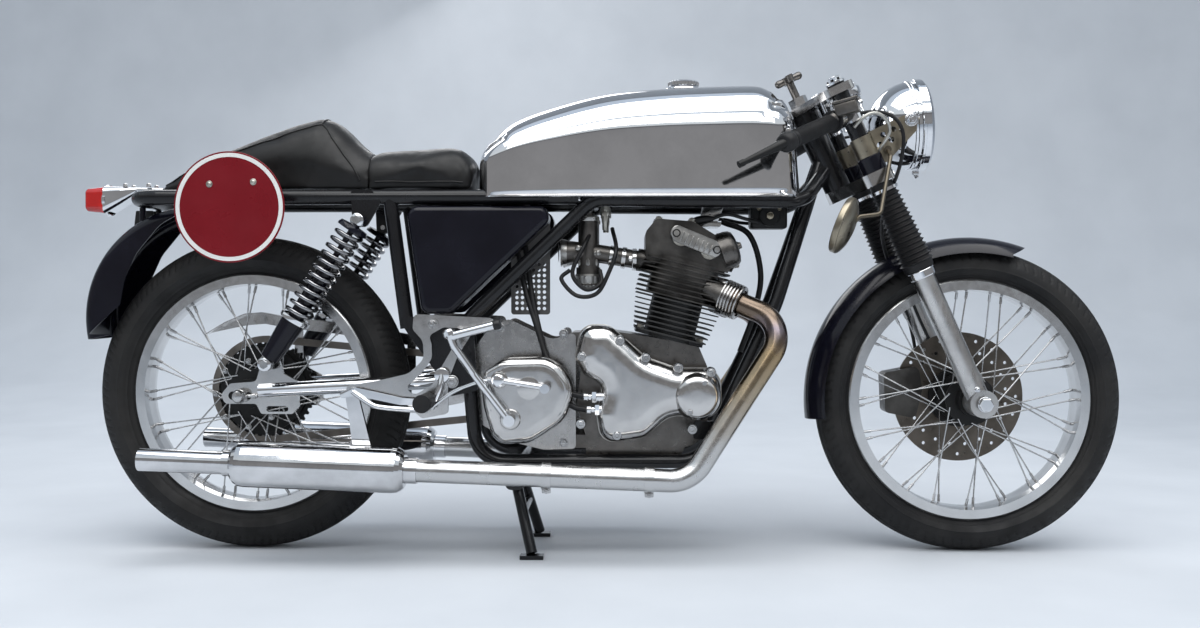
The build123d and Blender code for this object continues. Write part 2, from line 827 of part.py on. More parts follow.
def mudguard_section(crown_radius, half_width, depth):
    """A channel across the wheel: an outer arc, an inner arc a wall's thickness inside."""
    with BuildLine() as edge:
        ThreePointArc(
            (-half_width, crown_radius - depth),
            (0, crown_radius),
            (half_width, crown_radius - depth),
        )
        Line((half_width, crown_radius - depth), (half_width - guard_wall * 1.3, crown_radius - depth))
        ThreePointArc(
            (half_width - guard_wall * 1.3, crown_radius - depth),
            (0, crown_radius - guard_wall),
            (-half_width + guard_wall * 1.3, crown_radius - depth),
        )
        Line((-half_width + guard_wall * 1.3, crown_radius - depth), (-half_width, crown_radius - depth))
    make_face(edge.edges())


with BuildPart() as front_mudguard:
    start = radians(mudguard_front_angle)
    with BuildSketch(
        Plane(
            origin=(front_axle_x, 0, front_axle_z),
            x_dir=(0, 1, 0),
            z_dir=(sin(start), 0, -cos(start)),
        )
    ) as channel:
        mudguard_section(front_guard_radius, front_guard_half, guard_depth)
    revolve(
        channel.sketch,
        axis=Axis((front_axle_x, 0, front_axle_z), (0, -1, 0)),
        revolution_arc=mudguard_rear_angle - mudguard_front_angle,
    )
    blade_tip = (front_axle_x + 124, front_axle_z + 311)
    blade_heel = (front_axle_x + 78, front_axle_z + 291)
    side_plate(
        [
            (blade_tip[0], blade_tip[1], 0),
            (blade_heel[0], blade_heel[1], 0),
            (blade_heel[0], blade_heel[1] - 60, 0),
            (blade_tip[0] + 40, blade_heel[1] - 60, 0),
            (blade_tip[0] + 40, blade_tip[1], 0),
        ],
        -70,
        70,
        Mode.SUBTRACT,
    )
    stay_height = slider_length - 10.0
    for side in (-1, 1):
        stay_y = side * (front_guard_half - 2.5)
        low_y = min(stay_y, stay_y + side * 4.0)
        root = Vector(*on_fork_leg(stay_height - 34, 0))
        tip = Vector(*on_fork_leg(front_guard_radius - 6, 0))
        with BuildSketch(
            Plane(origin=(root.X, low_y, root.Z), x_dir=(-rake_sin, 0, rake_cos), z_dir=(0, 1, 0))
        ) as strap:
            with Locations(((tip - root).length / 2, 0)):
                RectangleRounded((tip - root).length, 22.0, 5.0)
        extrude(strap.sketch, amount=4.0)
        leg_side = side * (fork_half_track - slider_radius + 3)
        block_low = min(stay_y, leg_side)
        block_high = max(stay_y, leg_side)
        cross_rod(root.X - rake_sin * 14, root.Z + rake_cos * 14, block_low, block_high, 9.0)
        rod(
            on_fork_leg(0, side * fork_half_track),
            on_fork_leg(slider_length, side * fork_half_track),
            slider_radius + seat_gap,
            Mode.SUBTRACT,
        )
front_mudguard.part.label = "front_mudguard"
export_step(front_mudguard.part, "parts/front_mudguard.step")

# Brake caliper on the left leg
with BuildPart() as brake_caliper:
    caliper_x = front_axle_x - 112.0
    caliper_z = front_axle_z + 6.0
    side_plate(
        [
            (caliper_x - 46, caliper_z + 44, 10.0),
            (caliper_x + 26, caliper_z + 58, 12.0),
            (caliper_x + 34, caliper_z + 10, 12.0),
            (caliper_x + 20, caliper_z - 50, 12.0),
            (caliper_x - 42, caliper_z - 38, 10.0),
        ],
        disc_y - 20,
        disc_y + 30,
    )
    cross_rod(
        front_axle_x,
        front_axle_z,
        disc_y - disc_thickness / 2 - 2,
        disc_y + disc_thickness / 2 + 2,
        disc_radius + 5,
        Mode.SUBTRACT,
    )
    side_plate(
        [
            (caliper_x + 10, caliper_z + 52, 8.0),
            (caliper_x + 96, caliper_z + 84, 8.0),
            (caliper_x + 104, caliper_z + 40, 8.0),
            (caliper_x + 20, caliper_z - 20, 8.0),
        ],
        disc_y + 10,
        disc_y + 17,
    )
    rod(
        on_fork_leg(0, fork_half_track),
        on_fork_leg(slider_length, fork_half_track),
        slider_radius + fit_gap,
        Mode.SUBTRACT,
    )
    cross_rod(
        front_axle_x,
        front_axle_z,
        disc_y,
        disc_y + 60,
        slider_boss_radius + fit_gap,
        Mode.SUBTRACT,
    )
brake_caliper.part.label = "brake_caliper"
export_step(brake_caliper.part, "parts/brake_caliper.step")

crankcase_half = 75.0
engine_lug_y = crankcase_half + seat_gap

# Frame: a loop each side from the steering head, and a hoop behind for the seat
downtube_knee = (352.0, 54.0, 500.0)
lower_front_corner = (204.0, 92.0, lower_rail_z)
lower_rear_corner = (-240.0, 95.0, lower_rail_z)
seat_tube_foot = (-264.0, frame_half_track, 462.0)
seat_tube_top = (-12.0, frame_half_track, 704.0)
top_rail_joint = (60.0, 99.0, 703.5)
top_rail_front = (400.0, 95.0, 700.0)
hoop_rear_x = rear_axle_x - 219.0
gusset_y = frame_half_track + 7.5
with BuildPart() as frame:
    head_bottom = lower_yoke_height + lower_yoke_thickness + head_gap
    head_top = upper_yoke_height - head_gap
    rod(on_steering_axis(head_bottom), on_steering_axis(head_top), head_tube_radius)
    for side in (-1, 1):
        loop = [on_steering_axis(568, -4, side * 6)]
        for x, y, z in (
            downtube_knee,
            lower_front_corner,
            lower_rear_corner,
            seat_tube_foot,
            seat_tube_top,
            top_rail_joint,
        ):
            loop.append((x, side * y, z))
        bent_tube(loop, frame_tube_radius, [260, 70, 60, 60, 60])
        top_rail = [(x, side * y, z) for x, y, z in (top_rail_joint, top_rail_front)]
        top_rail.append(on_steering_axis(542, -6, side * 8))
        bent_tube(top_rail, frame_tube_radius, 50)
    bent_tube(
        [
            (-40, -frame_half_track, rail_z),
            (hoop_rear_x, -frame_half_track, rail_z),
            (hoop_rear_x, frame_half_track, rail_z),
            (-40, frame_half_track, rail_z),
        ],
        rail_radius,
        55.0,
    )
    for side in (-1, 1):
        y = side * frame_half_track
        rod((-410, y, rail_z), (-376, y, 452), frame_tube_radius)
        low_y = min(side * gusset_y, side * (gusset_y + gusset_thickness))
        high_y = low_y + gusset_thickness
        side_plate(
            [
                (-394, 474, 8),
                (-246, 474, 8),
                (-236, 330, 8),
                (swing_pivot_x - 10, swing_pivot_z - 30, 14),
                (swing_pivot_x - 34, swing_pivot_z + 20, 14),
                (-372, 440, 10),
            ],
            low_y,
            high_y,
        )
        side_plate(
            [(-484, 722, 5), (-444, 722, 5), (-424, 700, 10), (-453, 650, 11), (-481, 650, 11)],
            low_y,
            high_y,
        )
        engine_lug_low = min(side * engine_lug_y, side * (engine_lug_y + 7))
        side_plate(
            [(186, 232, 6), (234, 232, 6), (246, 268, 6), (188, 268, 6)],
            engine_lug_low,
            engine_lug_low + 7,
        )
        lug_low = min(side * stand_lug_y, side * (stand_lug_y + 6))
        side_plate(
            [
                (stand_pivot_x - 30, lower_rail_z + 4, 3),
                (stand_pivot_x + 30, lower_rail_z + 4, 3),
                (stand_pivot_x + 16, stand_pivot_z - 15, 12),
                (stand_pivot_x - 16, stand_pivot_z - 15, 12),
            ],
            lug_low,
            lug_low + 6,
        )
    cross_rod(-150, lower_rail_z, -90, 90, 10.0)
    cross_rod(-12, rail_z - 4, -frame_half_track, frame_half_track, 12.0)
    cross_rod(-440, rail_z, -frame_half_track, frame_half_track, 10.0)
    rod(
        on_steering_axis(head_bottom - 5),
        on_steering_axis(head_top + 5),
        stem_radius + fit_gap,
        Mode.SUBTRACT,
    )
    cross_rod(swing_pivot_x, swing_pivot_z, -150, 150, pivot_bolt_radius + fit_gap, Mode.SUBTRACT)
    cross_rod(stand_pivot_x, stand_pivot_z, -150, 150, stand_pin_radius + fit_gap, Mode.SUBTRACT)
    for side in (-1, 1):
        cross_rod(
            damper_top_x,
            damper_top_z,
            side * 130 - 30,
            side * 130 + 30,
            damper_bolt_radius + fit_gap,
            Mode.SUBTRACT,
        )
frame.part.label = "frame"
export_step(frame.part, "parts/frame.step")

with BuildPart() as centre_stand:
    cross_rod(
        stand_pivot_x,
        stand_pivot_z,
        -stand_lug_y + seat_gap,
        stand_lug_y - seat_gap,
        stand_tube_radius + 3,
    )
    cross_rod(stand_pivot_x, stand_pivot_z, -stand_lug_y - 10, stand_lug_y + 10, stand_pin_radius)
    for side in (-1, 1):
        foot = (stand_foot_x, side * stand_foot_half_track, stand_tube_radius)
        rod((stand_pivot_x, side * stand_half_track * 0.8, stand_pivot_z), foot, stand_tube_radius)
        with Locations((stand_foot_x, side * stand_foot_half_track, 0)):
            Box(46, 24, 8, align=(Align.CENTER, Align.CENTER, Align.MIN))
    brace_share = 0.45
    brace_x = stand_pivot_x + (stand_foot_x - stand_pivot_x) * brace_share
    brace_z = stand_pivot_z + (stand_tube_radius - stand_pivot_z) * brace_share
    cross_rod(brace_x, brace_z, -80, 80, 8.0)
centre_stand.part.label = "centre_stand"
export_step(centre_stand.part, "parts/centre_stand.step")

# Swing arm, axle plates and rear axle
plate_inner_y = swing_half_track - axle_plate_thickness / 2
plate_outer_y = swing_half_track + axle_plate_thickness / 2
arm_end_x = rear_axle_x + 34.0
with BuildPart() as swing_arm:
    cross_rod(swing_pivot_x, swing_pivot_z, -gusset_y + seat_gap, gusset_y - seat_gap, 16.5)
    for side in (-1, 1):
        y = side * swing_half_track
        rod((swing_pivot_x, y, swing_pivot_z), (arm_end_x, y, rear_axle_z + 10), swing_tube_radius)
    cross_rod(-352, 343, -swing_half_track, swing_half_track, 13.0)
    cross_rod(swing_pivot_x, swing_pivot_z, -150, 150, pivot_bolt_radius + fit_gap, Mode.SUBTRACT)
    for side in (-1, 1):
        low_y = min(side * plate_inner_y, side * plate_outer_y) - seat_gap
        side_plate(
            [
                (arm_end_x - 30, 280, 0),
                (arm_end_x - 30, 400, 0),
                (arm_end_x + 84, 400, 0),
                (arm_end_x + 84, 280, 0),
            ],
            low_y,
            low_y + axle_plate_thickness + 2 * seat_gap,
            Mode.SUBTRACT,
        )
swing_arm.part.label = "swing_arm"
export_step(swing_arm.part, "parts/swing_arm.step")

with BuildPart() as axle_plates:
    for side in (-1, 1):
        low_y = min(side * plate_inner_y, side * plate_outer_y)
        side_plate(
            [
                (rear_axle_x - 42, rear_axle_z + 2, 12),
                (rear_axle_x - 24, rear_axle_z + 24, 10),
                (rear_axle_x + 28, rear_axle_z + 28, 10),
                (rear_axle_x + 42, rear_axle_z + 78, 11),
                (rear_axle_x + 72, rear_axle_z + 78, 11),
                (rear_axle_x + 82, rear_axle_z + 44, 10),
                (rear_axle_x + 112, rear_axle_z + 28, 5),
                (rear_axle_x + 113, rear_axle_z - 22, 6),
                (rear_axle_x + 100, rear_axle_z - 36, 6),
                (rear_axle_x + 38, rear_axle_z - 36, 6),
                (rear_axle_x + 28, rear_axle_z - 16, 8),
                (rear_axle_x - 34, rear_axle_z - 16, 10),
            ],
            low_y,
            low_y + axle_plate_thickness,
        )
        with BuildSketch(Plane.XZ.offset(-(low_y + axle_plate_thickness + 1))) as slots:
            with Locations((rear_axle_x - 4, rear_axle_z)):
                SlotOverall(46.0, 2 * (axle_radius + fit_gap))
            with Locations((rear_axle_x + 70, rear_axle_z - 26)):
                SlotOverall(44.0, 11.0)
            with Locations((damper_foot_x, damper_foot_z)):
                Circle(damper_bolt_radius + fit_gap)
        extrude(slots.sketch, amount=axle_plate_thickness + 2, mode=Mode.SUBTRACT)
axle_plates.part.label = "axle_plates"
export_step(axle_plates.part, "parts/axle_plates.step")

with BuildPart() as rear_axle:
    cross_rod(rear_axle_x, rear_axle_z, -plate_outer_y - 17, plate_outer_y + 17, axle_radius)
    for side in (-1, 1):
        ends = sorted((side * (rear_hub_half + seat_gap), side * (plate_inner_y - seat_gap)))
        cross_rod(rear_axle_x, rear_axle_z, ends[0], ends[1], 14.0)
        with BuildSketch(
            Plane(
                origin=(rear_axle_x, side * (plate_outer_y + seat_gap), rear_axle_z),
                z_dir=(0, side, 0),
            )
        ) as nut:
            RegularPolygon(15.0, 6)
        extrude(nut.sketch, amount=12.0)
        y = side * (plate_outer_y + 6)
        rod((rear_axle_x + 10, y, rear_axle_z), (rear_axle_x + 33, y, rear_axle_z), 3.5)
        rod((rear_axle_x + 23, y, rear_axle_z), (rear_axle_x + 29, y, rear_axle_z), 5.5)
    cross_rod(rear_axle_x, rear_axle_z, -150, 150, axle_bore_radius, Mode.SUBTRACT)
rear_axle.part.label = "rear_axle"
export_step(rear_axle.part, "parts/rear_axle.step")

# Rear dampers and springs
damper_way = Vector(damper_foot_x - damper_top_x, 0, damper_foot_z - damper_top_z)
damper_length = damper_way.length
damper_way = damper_way.normalized()


def on_damper(distance, side):
    """A point on a damper's centre line, measured down from its top bolt."""
    return (
        damper_top_x + damper_way.X * distance,
        side * damper_half_track,
        damper_top_z + damper_way.Z * distance,
    )


spring_start = 27.0
spring_coils = 12
spring_pitch = 16.2
spring_wire_radius = 4.0
spring_mean_radius = 25.0
spring_length = spring_coils * spring_pitch
with BuildPart() as rear_dampers:
    for side in (-1, 1):
        for x, z in ((damper_top_x, damper_top_z), (damper_foot_x, damper_foot_z)):
            cross_rod(x, z, side * damper_half_track - 10.2, side * damper_half_track + 10.2, 13.0)
        rod(on_damper(0, side), on_damper(spring_start - 6, side), 9.5)
        rod(on_damper(spring_start - 8, side), on_damper(spring_start - 4.3, side), 30.0)
        rod(on_damper(10, side), on_damper(spring_start + spring_length, side), 6.0)
        rod(on_damper(120, side), on_damper(damper_length - 20, side), 16.0)
        taper_rod(
            on_damper(spring_start + spring_length + spring_wire_radius, side),
            on_damper(damper_length - 14, side),
            25.0,
            19.0,
        )
        rod(on_damper(damper_length - 22, side), on_damper(damper_length, side), 9.5)
        for x, z in ((damper_top_x, damper_top_z), (damper_foot_x, damper_foot_z)):
            cross_rod(
                x,
                z,
                side * damper_half_track - 20,
                side * damper_half_track + 20,
                damper_bolt_radius + fit_gap,
                Mode.SUBTRACT,
            )
rear_dampers.part.label = "rear_dampers"
export_step(rear_dampers.part, "parts/rear_dampers.step")

with BuildPart() as rear_springs:
    lift = spring_pitch / 4
    for side in (-1, 1):
        coil_frame = Plane(
            origin=on_damper(spring_start, side),
            x_dir=(0, 1, 0),
            z_dir=tuple(damper_way),
        )
        with BuildLine() as coil:
            for half_turn in range(2 * spring_coils):
                way = 1 if half_turn % 2 == 0 else -1
                base = half_turn * spring_pitch / 2
                corners = (
                    (way * spring_mean_radius, 0, base),
                    (0, spring_mean_radius * way, base + lift),
                    (-way * spring_mean_radius, 0, base + 2 * lift),
                )
                ThreePointArc(*[coil_frame.from_local_coords(Vector(*corner)) for corner in corners])
        wire = coil.wire()
        with BuildSketch(Plane(origin=wire @ 0, z_dir=wire % 0)) as strand:
            Circle(spring_wire_radius)
        sweep(strand.sketch, path=wire)
rear_springs.part.label = "rear_springs"
export_step(rear_springs.part, "parts/rear_springs.step")

with BuildPart() as chassis_bolts:
    cross_rod(
        swing_pivot_x,
        swing_pivot_z,
        -gusset_y - gusset_thickness - 8,
        gusset_y + gusset_thickness + 8,
        pivot_bolt_radius,
    )
    for side in (-1, 1):
        with BuildSketch(
            Plane(
                origin=(damper_top_x, side * (damper_half_track + 11 + seat_gap), damper_top_z),
                z_dir=(0, side, 0),
            )
        ) as head:
            RegularPolygon(8.5, 6)
        extrude(head.sketch, amount=7.0)
        ends = sorted((side * (gusset_y - 4), side * (damper_half_track + 14)))
        cross_rod(damper_top_x, damper_top_z, ends[0], ends[1], damper_bolt_radius)
        with BuildSketch(
            Plane(
                origin=(damper_foot_x, side * (damper_half_track + 11 + seat_gap), damper_foot_z),
                z_dir=(0, side, 0),
            )
        ) as head:
            RegularPolygon(8.5, 6)
        extrude(head.sketch, amount=7.0)
        ends = sorted((side * (plate_inner_y - 4), side * (damper_half_track + 14)))
        cross_rod(damper_foot_x, damper_foot_z, ends[0], ends[1], damper_bolt_radius)
chassis_bolts.part.label = "chassis_bolts"
export_step(chassis_bolts.part, "parts/chassis_bolts.step")

# Fuel tank: a rounded shell astride the top rails
tank_half = 135.0
tank_base_z = 706.0
tank_floor_z = rail_z + rail_radius + seat_gap
tank_cap_z = 926.0
cap_x = 170.0
with BuildPart() as fuel_tank:
    side_plate(
        [
            (-232, tank_base_z, 14),
            (-238, 790, 46),
            (-170, 858, 120),
            (20, 922, 400),
            (312, 934, 62),
            (382, 850, 90),
            (398, tank_base_z, 14),
        ],
        -tank_half,
        tank_half,
    )
    with BuildSketch(Plane.XY.offset(tank_base_z - 5)) as plan:
        with BuildLine():
            FilletPolyline(
                (-240, -tank_half + 34),
                (20, -tank_half),
                (400, -tank_half + 4),
                (400, tank_half - 4),
                (20, tank_half),
                (-240, tank_half - 34),
                radius=[30, 500, 62, 62, 500, 30],
                close=True,
            )
        make_face()
    extrude(plan.sketch, amount=300, mode=Mode.INTERSECT)
    with Locations((80, 0, tank_base_z)):
        Box(700, 2 * (frame_half_track + 21), 2 * (tank_floor_z - tank_base_z), mode=Mode.SUBTRACT)
    with Locations((cap_x, 0, tank_cap_z)):
        Cylinder(32.0, 30.0)
fuel_tank.part.label = "fuel_tank"
export_step(fuel_tank.part, "parts/fuel_tank.step")

# Seat: a pad and a tail hump on the hoop
seat_base_z = rail_z + rail_radius + fit_gap
seat_half = 106.0
hump_rear_x = -892.0
with BuildPart() as seat_pad:
    side_plate(
        [
            (-446, seat_base_z, 6),
            (-446, 792, 22),
            (-400, 806, 90),
            (-300, 818, 60),
            (-262, 806, 28),
            (-246, 764, 20),
            (-252, seat_base_z, 6),
        ],
        -seat_half,
        seat_half,
    )
    seat_side_edges = seat_pad.edges().filter_by(
        lambda edge: abs(edge.center().Y) > seat_half - 1
        and edge.center().Z > seat_base_z + 14
    )
    fillet(seat_side_edges, 16.0)
seat_pad.part.label = "seat_pad"
export_step(seat_pad.part, "parts/seat_pad.step")


def hump_section(x, half_width, top_z, corner):
    """A flat-based arch across the seat hump."""
    plane = Plane(origin=(x, 0, 0), x_dir=(0, 1, 0), z_dir=(1, 0, 0))
    with BuildSketch(plane) as arch:
        with BuildLine():
            FilletPolyline(
                (-half_width, seat_base_z),
                (half_width, seat_base_z),
                (half_width * 0.62, top_z),
                (-half_width * 0.62, top_z),
                radius=[3, 3, corner, corner],
                close=True,
            )
        make_face()
    return arch.sketch


with BuildPart() as seat_hump:
    tail_sections = [
        hump_section(x, w, z, r)
        for x, w, z, r in ((hump_rear_x, 56, 744, 7), (-728, 88, 814, 32), (-540, 108, 874, 50))
    ]
    loft(tail_sections)
    front_sections = [
        hump_section(x, w, z, r)
        for x, w, z, r in ((-540, 108, 874, 50), (-494, 109, 830, 34), (-450, 110, 801, 24))
    ]
    loft(front_sections, ruled=True)
seat_hump.part.label = "seat_hump"
export_step(seat_hump.part, "parts/seat_hump.step")

# Side panels, the oil tank on the right and its twin on the left
with BuildPart() as side_panels:
    for side in (-1, 1):
        ends = sorted((side * 62.0, side * 126.0))
        side_plate(
            [(-376, 690, 22), (-104, 690, 16), (-94, 662, 18), (-286, 480, 26), (-344, 480, 20)],
            ends[0],
            ends[1],
        )
    for side in (-1, 1):
        for lug_x in (-340, -140):
            lug_top = rail_z - rail_radius - fit_gap
            rod(
                (lug_x, side * frame_half_track, lug_top - 24),
                (lug_x, side * frame_half_track, lug_top),
                7.0,
            )
    outer_edges = side_panels.edges().filter_by(lambda edge: abs(abs(edge.center().Y) - 126.0) < 0.5)
    fillet(outer_edges, 11.0)
side_panels.part.label = "side_panels"
export_step(side_panels.part, "parts/side_panels.step")

# Tail: mudguard, lamp and number board
tail_guard_radius = 232.0
tail_guard_half = 66.0
tail_guard_depth = 84.0
tail_guard_inner_line = [
    (-880, 438, 0),
    (-1026, 438, 0),
    (-961, 498, 3),
    (-951, 550, 60),
    (-928, 600, 80),
    (-880, 658, 80),
    (-826, 688, 0),
    (-800, 640, 0),
]
with BuildPart() as rear_mudguard:
    guard_centre_x = rear_axle_x - 106.0
    guard_centre_z = rear_axle_z + 152.0
    start = radians(93.0)
    with BuildSketch(
        Plane(
            origin=(guard_centre_x, 0, guard_centre_z),
            x_dir=(0, 1, 0),
            z_dir=(sin(start), 0, -cos(start)),
        )
    ) as channel:
        crown_drop = 8.0
        edges = []
        for inset, bend in ((0.0, 22.0), (guard_wall, 22.0 - guard_wall)):
            reach = tail_guard_half - inset
            top = tail_guard_radius - inset
            foot = tail_guard_radius - tail_guard_depth
            edges.append(
                [
                    (-reach, foot, 0),
                    (-reach, top - crown_drop, bend),
                    (0, top, 300),
                    (reach, top - crown_drop, bend),
                    (reach, foot, 0),
                ]
            )
        with BuildLine():
            corners = edges[0] + edges[1][::-1]
            FilletPolyline(
                *[(y, z) for y, z, bend in corners],
                radius=[bend for y, z, bend in corners],
                close=True,
            )
        make_face()
    revolve(
        channel.sketch,
        axis=Axis((guard_centre_x, 0, guard_centre_z), (0, -1, 0)),
        revolution_arc=98.0,
    )
    side_plate(tail_guard_inner_line, -tail_guard_half - 5, tail_guard_half + 5, Mode.SUBTRACT)
    for side in (-1, 1):
        hoop_under = rail_z - rail_radius - fit_gap
        rod((hoop_rear_x, side * 40, hoop_under - 34), (hoop_rear_x, side * 40, hoop_under), 6.0)
rear_mudguard.part.label = "rear_mudguard"
export_step(rear_mudguard.part, "parts/rear_mudguard.step")

lamp_front_x = hump_rear_x - fit_gap
lens_front_x = rear_axle_x - 305.0
lamp_stations = (
    (lamp_front_x, rail_z + 22, 36, 9, 4),
    (hoop_rear_x - rail_radius - 5, rail_z + 22.5, 44, 11, 5),
    (lens_front_x + 34, rail_z + 12, 56, 34, 10),
    (lens_front_x, rail_z + 2, 64, 56, 14),
)
with BuildPart() as tail_lamp:
    lamp_faces = []
    for x, z, width, height, corner in lamp_stations:
        with BuildSketch(Plane(origin=(x, 0, z), x_dir=(0, 1, 0), z_dir=(-1, 0, 0))) as station:
            RectangleRounded(width, height, corner)
        lamp_faces.append(station.sketch)
    loft(lamp_faces, ruled=True)
    rod((hoop_rear_x, 0, rail_z + rail_radius + fit_gap), (hoop_rear_x, 0, rail_z + 24), 9.0)
tail_lamp.part.label = "tail_lamp"
export_step(tail_lamp.part, "parts/tail_lamp.step")

with BuildPart() as tail_lens:
    with BuildSketch(
        Plane(origin=(lens_front_x - seat_gap, 0, rail_z + 2), x_dir=(0, 1, 0), z_dir=(-1, 0, 0))
    ) as lens_base:
        RectangleRounded(62, 54, 14)
    extrude(lens_base.sketch, amount=tail_reach - 305.0 - seat_gap, taper=6)
    fillet(tail_lens.faces().sort_by(Axis.X)[0].edges(), 8.0)
tail_lens.part.label = "tail_lens"
export_step(tail_lens.part, "parts/tail_lens.step")

board_x = -709.0
board_z = 686.0
board_y = -150.0
with BuildPart() as number_board:
    cross_rod(board_x, board_z, board_y - 2, board_y + 2, 107.0)
    for x in (board_x - 42, board_x + 42):
        cross_rod(x, rail_z, board_y, -frame_half_track - rail_radius - seat_gap, 6.0)
        cross_rod(x, rail_z + 24, board_y - 5, board_y, 5.0)
number_board.part.label = "number_board"
export_step(number_board.part, "parts/number_board.step")

# Engine
timing_outline = [
    (-46, 394, 20),
    (-32, 458, 30),
    (22, 458, 34),
    (92, 394, 90),
    (150, 374, 60),
    (236, 374, 36),
    (240, 276, 36),
    (138, 284, 50),
    (90, 240, 34),
    (6, 228, 34),
    (-3, 286, 24),
    (10, 340, 24),
    (-28, 362, 14),
]
timing_cap = (190.0, 321.0)
timing_cap_radius = 42.0
timing_inner_y = -96.0
timing_outer_y = -144.0
engine_plate_y = 70.0
engine_plate_thickness = 6.0
crankcase_lugs = ((-50.0, 430.0), (-50.0, 226.0))
cylinder_lean = 14.0
cylinder_foot = (136.0, 0.0, 420.0)
cylinder_joint = 8.6
lean_way = Vector(sin(radians(cylinder_lean)), 0, cos(radians(cylinder_lean)))


def cylinder_plane(height):
    """A plane square to the cylinders, at a height above their base joint."""
    origin = Vector(*cylinder_foot) + lean_way * height
    return Plane(origin=tuple(origin), x_dir=(lean_way.Z, 0, -lean_way.X), z_dir=tuple(lean_way))


with BuildPart() as crankcase:
    side_plate(
        [
            (-20, 216, 18),
            (196, 216, 40),
            (222, 292, 20),
            (214, 376, 14),
            (196, 418, 4),
            (66, 440, 4),
            (-26, 452, 24),
            (-44, 300, 30),
        ],
        -crankcase_half,
        crankcase_half,
    )
    side_plate([(-26, 186, 10), (158, 186, 30), (176, 230, 8), (-26, 230, 8)], -70, 70)
    side_plate(timing_outline, timing_inner_y + seat_gap, -74)
    for lug_x, lug_z in crankcase_lugs:
        lug_half = engine_plate_y - seat_gap
        cross_rod(lug_x, lug_z, -lug_half, lug_half, 13.0)
        side_plate(
            [
                (lug_x, lug_z - 13, 0),
                (lug_x + 44, lug_z - 13, 0),
                (lug_x + 44, lug_z + 13, 0),
                (lug_x, lug_z + 13, 0),
            ],
            -lug_half,
            lug_half,
        )
    with BuildSketch(cylinder_plane(cylinder_joint - seat_gap)) as cylinder_seat:
        Rectangle(420, 300)
    extrude(cylinder_seat.sketch, amount=120.0, mode=Mode.SUBTRACT)
crankcase.part.label = "crankcase"
export_step(crankcase.part, "parts/crankcase.step")

with BuildPart() as timing_cover:
    side_plate(timing_outline, timing_outer_y, timing_inner_y)
    rim_edges = timing_cover.edges().filter_by(lambda edge: abs(edge.center().Y - timing_outer_y) < 0.5)
    fillet(rim_edges, 9.0)
    cross_rod(timing_cap[0], timing_cap[1], timing_outer_y - 12, timing_outer_y + 4, timing_cap_radius)
    cap_edges = timing_cover.edges().filter_by(
        lambda edge: abs(edge.center().Y - timing_outer_y + 12) < 0.5
    )
    fillet(cap_edges, 8.0)
timing_cover.part.label = "timing_cover"
export_step(timing_cover.part, "parts/timing_cover.step")

fin_pitch = 9.8
fin_thickness = 2.6
block_fins = 8
head_fins = 8
block_height = fin_pitch * block_fins + 4
with BuildPart() as cylinder_block:
    with BuildSketch(cylinder_plane(cylinder_joint)) as barrels:
        with Locations((0, -44), (0, 44)):
            Circle(50.0)
        Rectangle(80, 88)
    extrude(barrels.sketch, amount=block_height)
    with BuildSketch(cylinder_plane(cylinder_joint)) as foot_flange:
        RectangleRounded(138, 146, 14)
    extrude(foot_flange.sketch, amount=9.0)
    for fin in range(block_fins):
        share = fin / (block_fins - 1)
        with BuildSketch(cylinder_plane(16 + fin * fin_pitch)) as fin_plate:
            RectangleRounded(146 + 26 * share, 206, 26)
        extrude(fin_plate.sketch, amount=fin_thickness)
cylinder_block.part.label = "cylinder_block"
export_step(cylinder_block.part, "parts/cylinder_block.step")

# Cylinder head with its rocker box and exhaust stubs
head_foot = cylinder_joint + block_height + seat_gap
head_height = fin_pitch * head_fins
exhaust_port = (262.0, 90.0, 507.0)
exhaust_corner = (369.0, 134.0, 459.0)
exhaust_way = (Vector(*exhaust_corner) - Vector(*exhaust_port)).normalized()
inlet_flange = (76.0, 52.0, 589.0)
with BuildPart() as cylinder_head:
    with BuildSketch(cylinder_plane(head_foot)) as head_core:
        RectangleRounded(132, 176, 30)
    extrude(head_core.sketch, amount=head_height)
    for fin in range(head_fins):
        with BuildSketch(cylinder_plane(head_foot + fin * fin_pitch)) as fin_plate:
            RectangleRounded(176, 204 - 3 * fin, 28)
        extrude(fin_plate.sketch, amount=fin_thickness)
    side_plate(
        [
            (92, 588, 6),
            (92, 642, 18),
            (114, 668, 14),
            (186, 662, 24),
            (244, 626, 14),
            (262, 560, 8),
        ],
        -82,
        82,
    )
    for side in (-1, 1):
        for cap in ((162, 631), (218, 604)):
            ends = sorted((side * 70.0, side * 92.0))
            cross_rod(cap[0], cap[1], ends[0], ends[1], 15.0)
        rod((226, side * 44, 604), (258, side * 44, 596), 38.0)
        rod((256, side * 44, 596.5), (272, side * 44, 592.5), 31.0)
        port = Vector(exhaust_port[0], side * exhaust_port[1], exhaust_port[2])
        port_way = Vector(exhaust_way.X, side * exhaust_way.Y, exhaust_way.Z)
        rod(tuple(port - port_way * 56), tuple(port), 25.0)
        inlet_x, inlet_y, inlet_z = inlet_flange
        rod((inlet_x + 50, side * inlet_y, inlet_z - 7.6), (inlet_x, side * inlet_y, inlet_z), 21.0)
cylinder_head.part.label = "cylinder_head"
export_step(cylinder_head.part, "parts/cylinder_head.step")

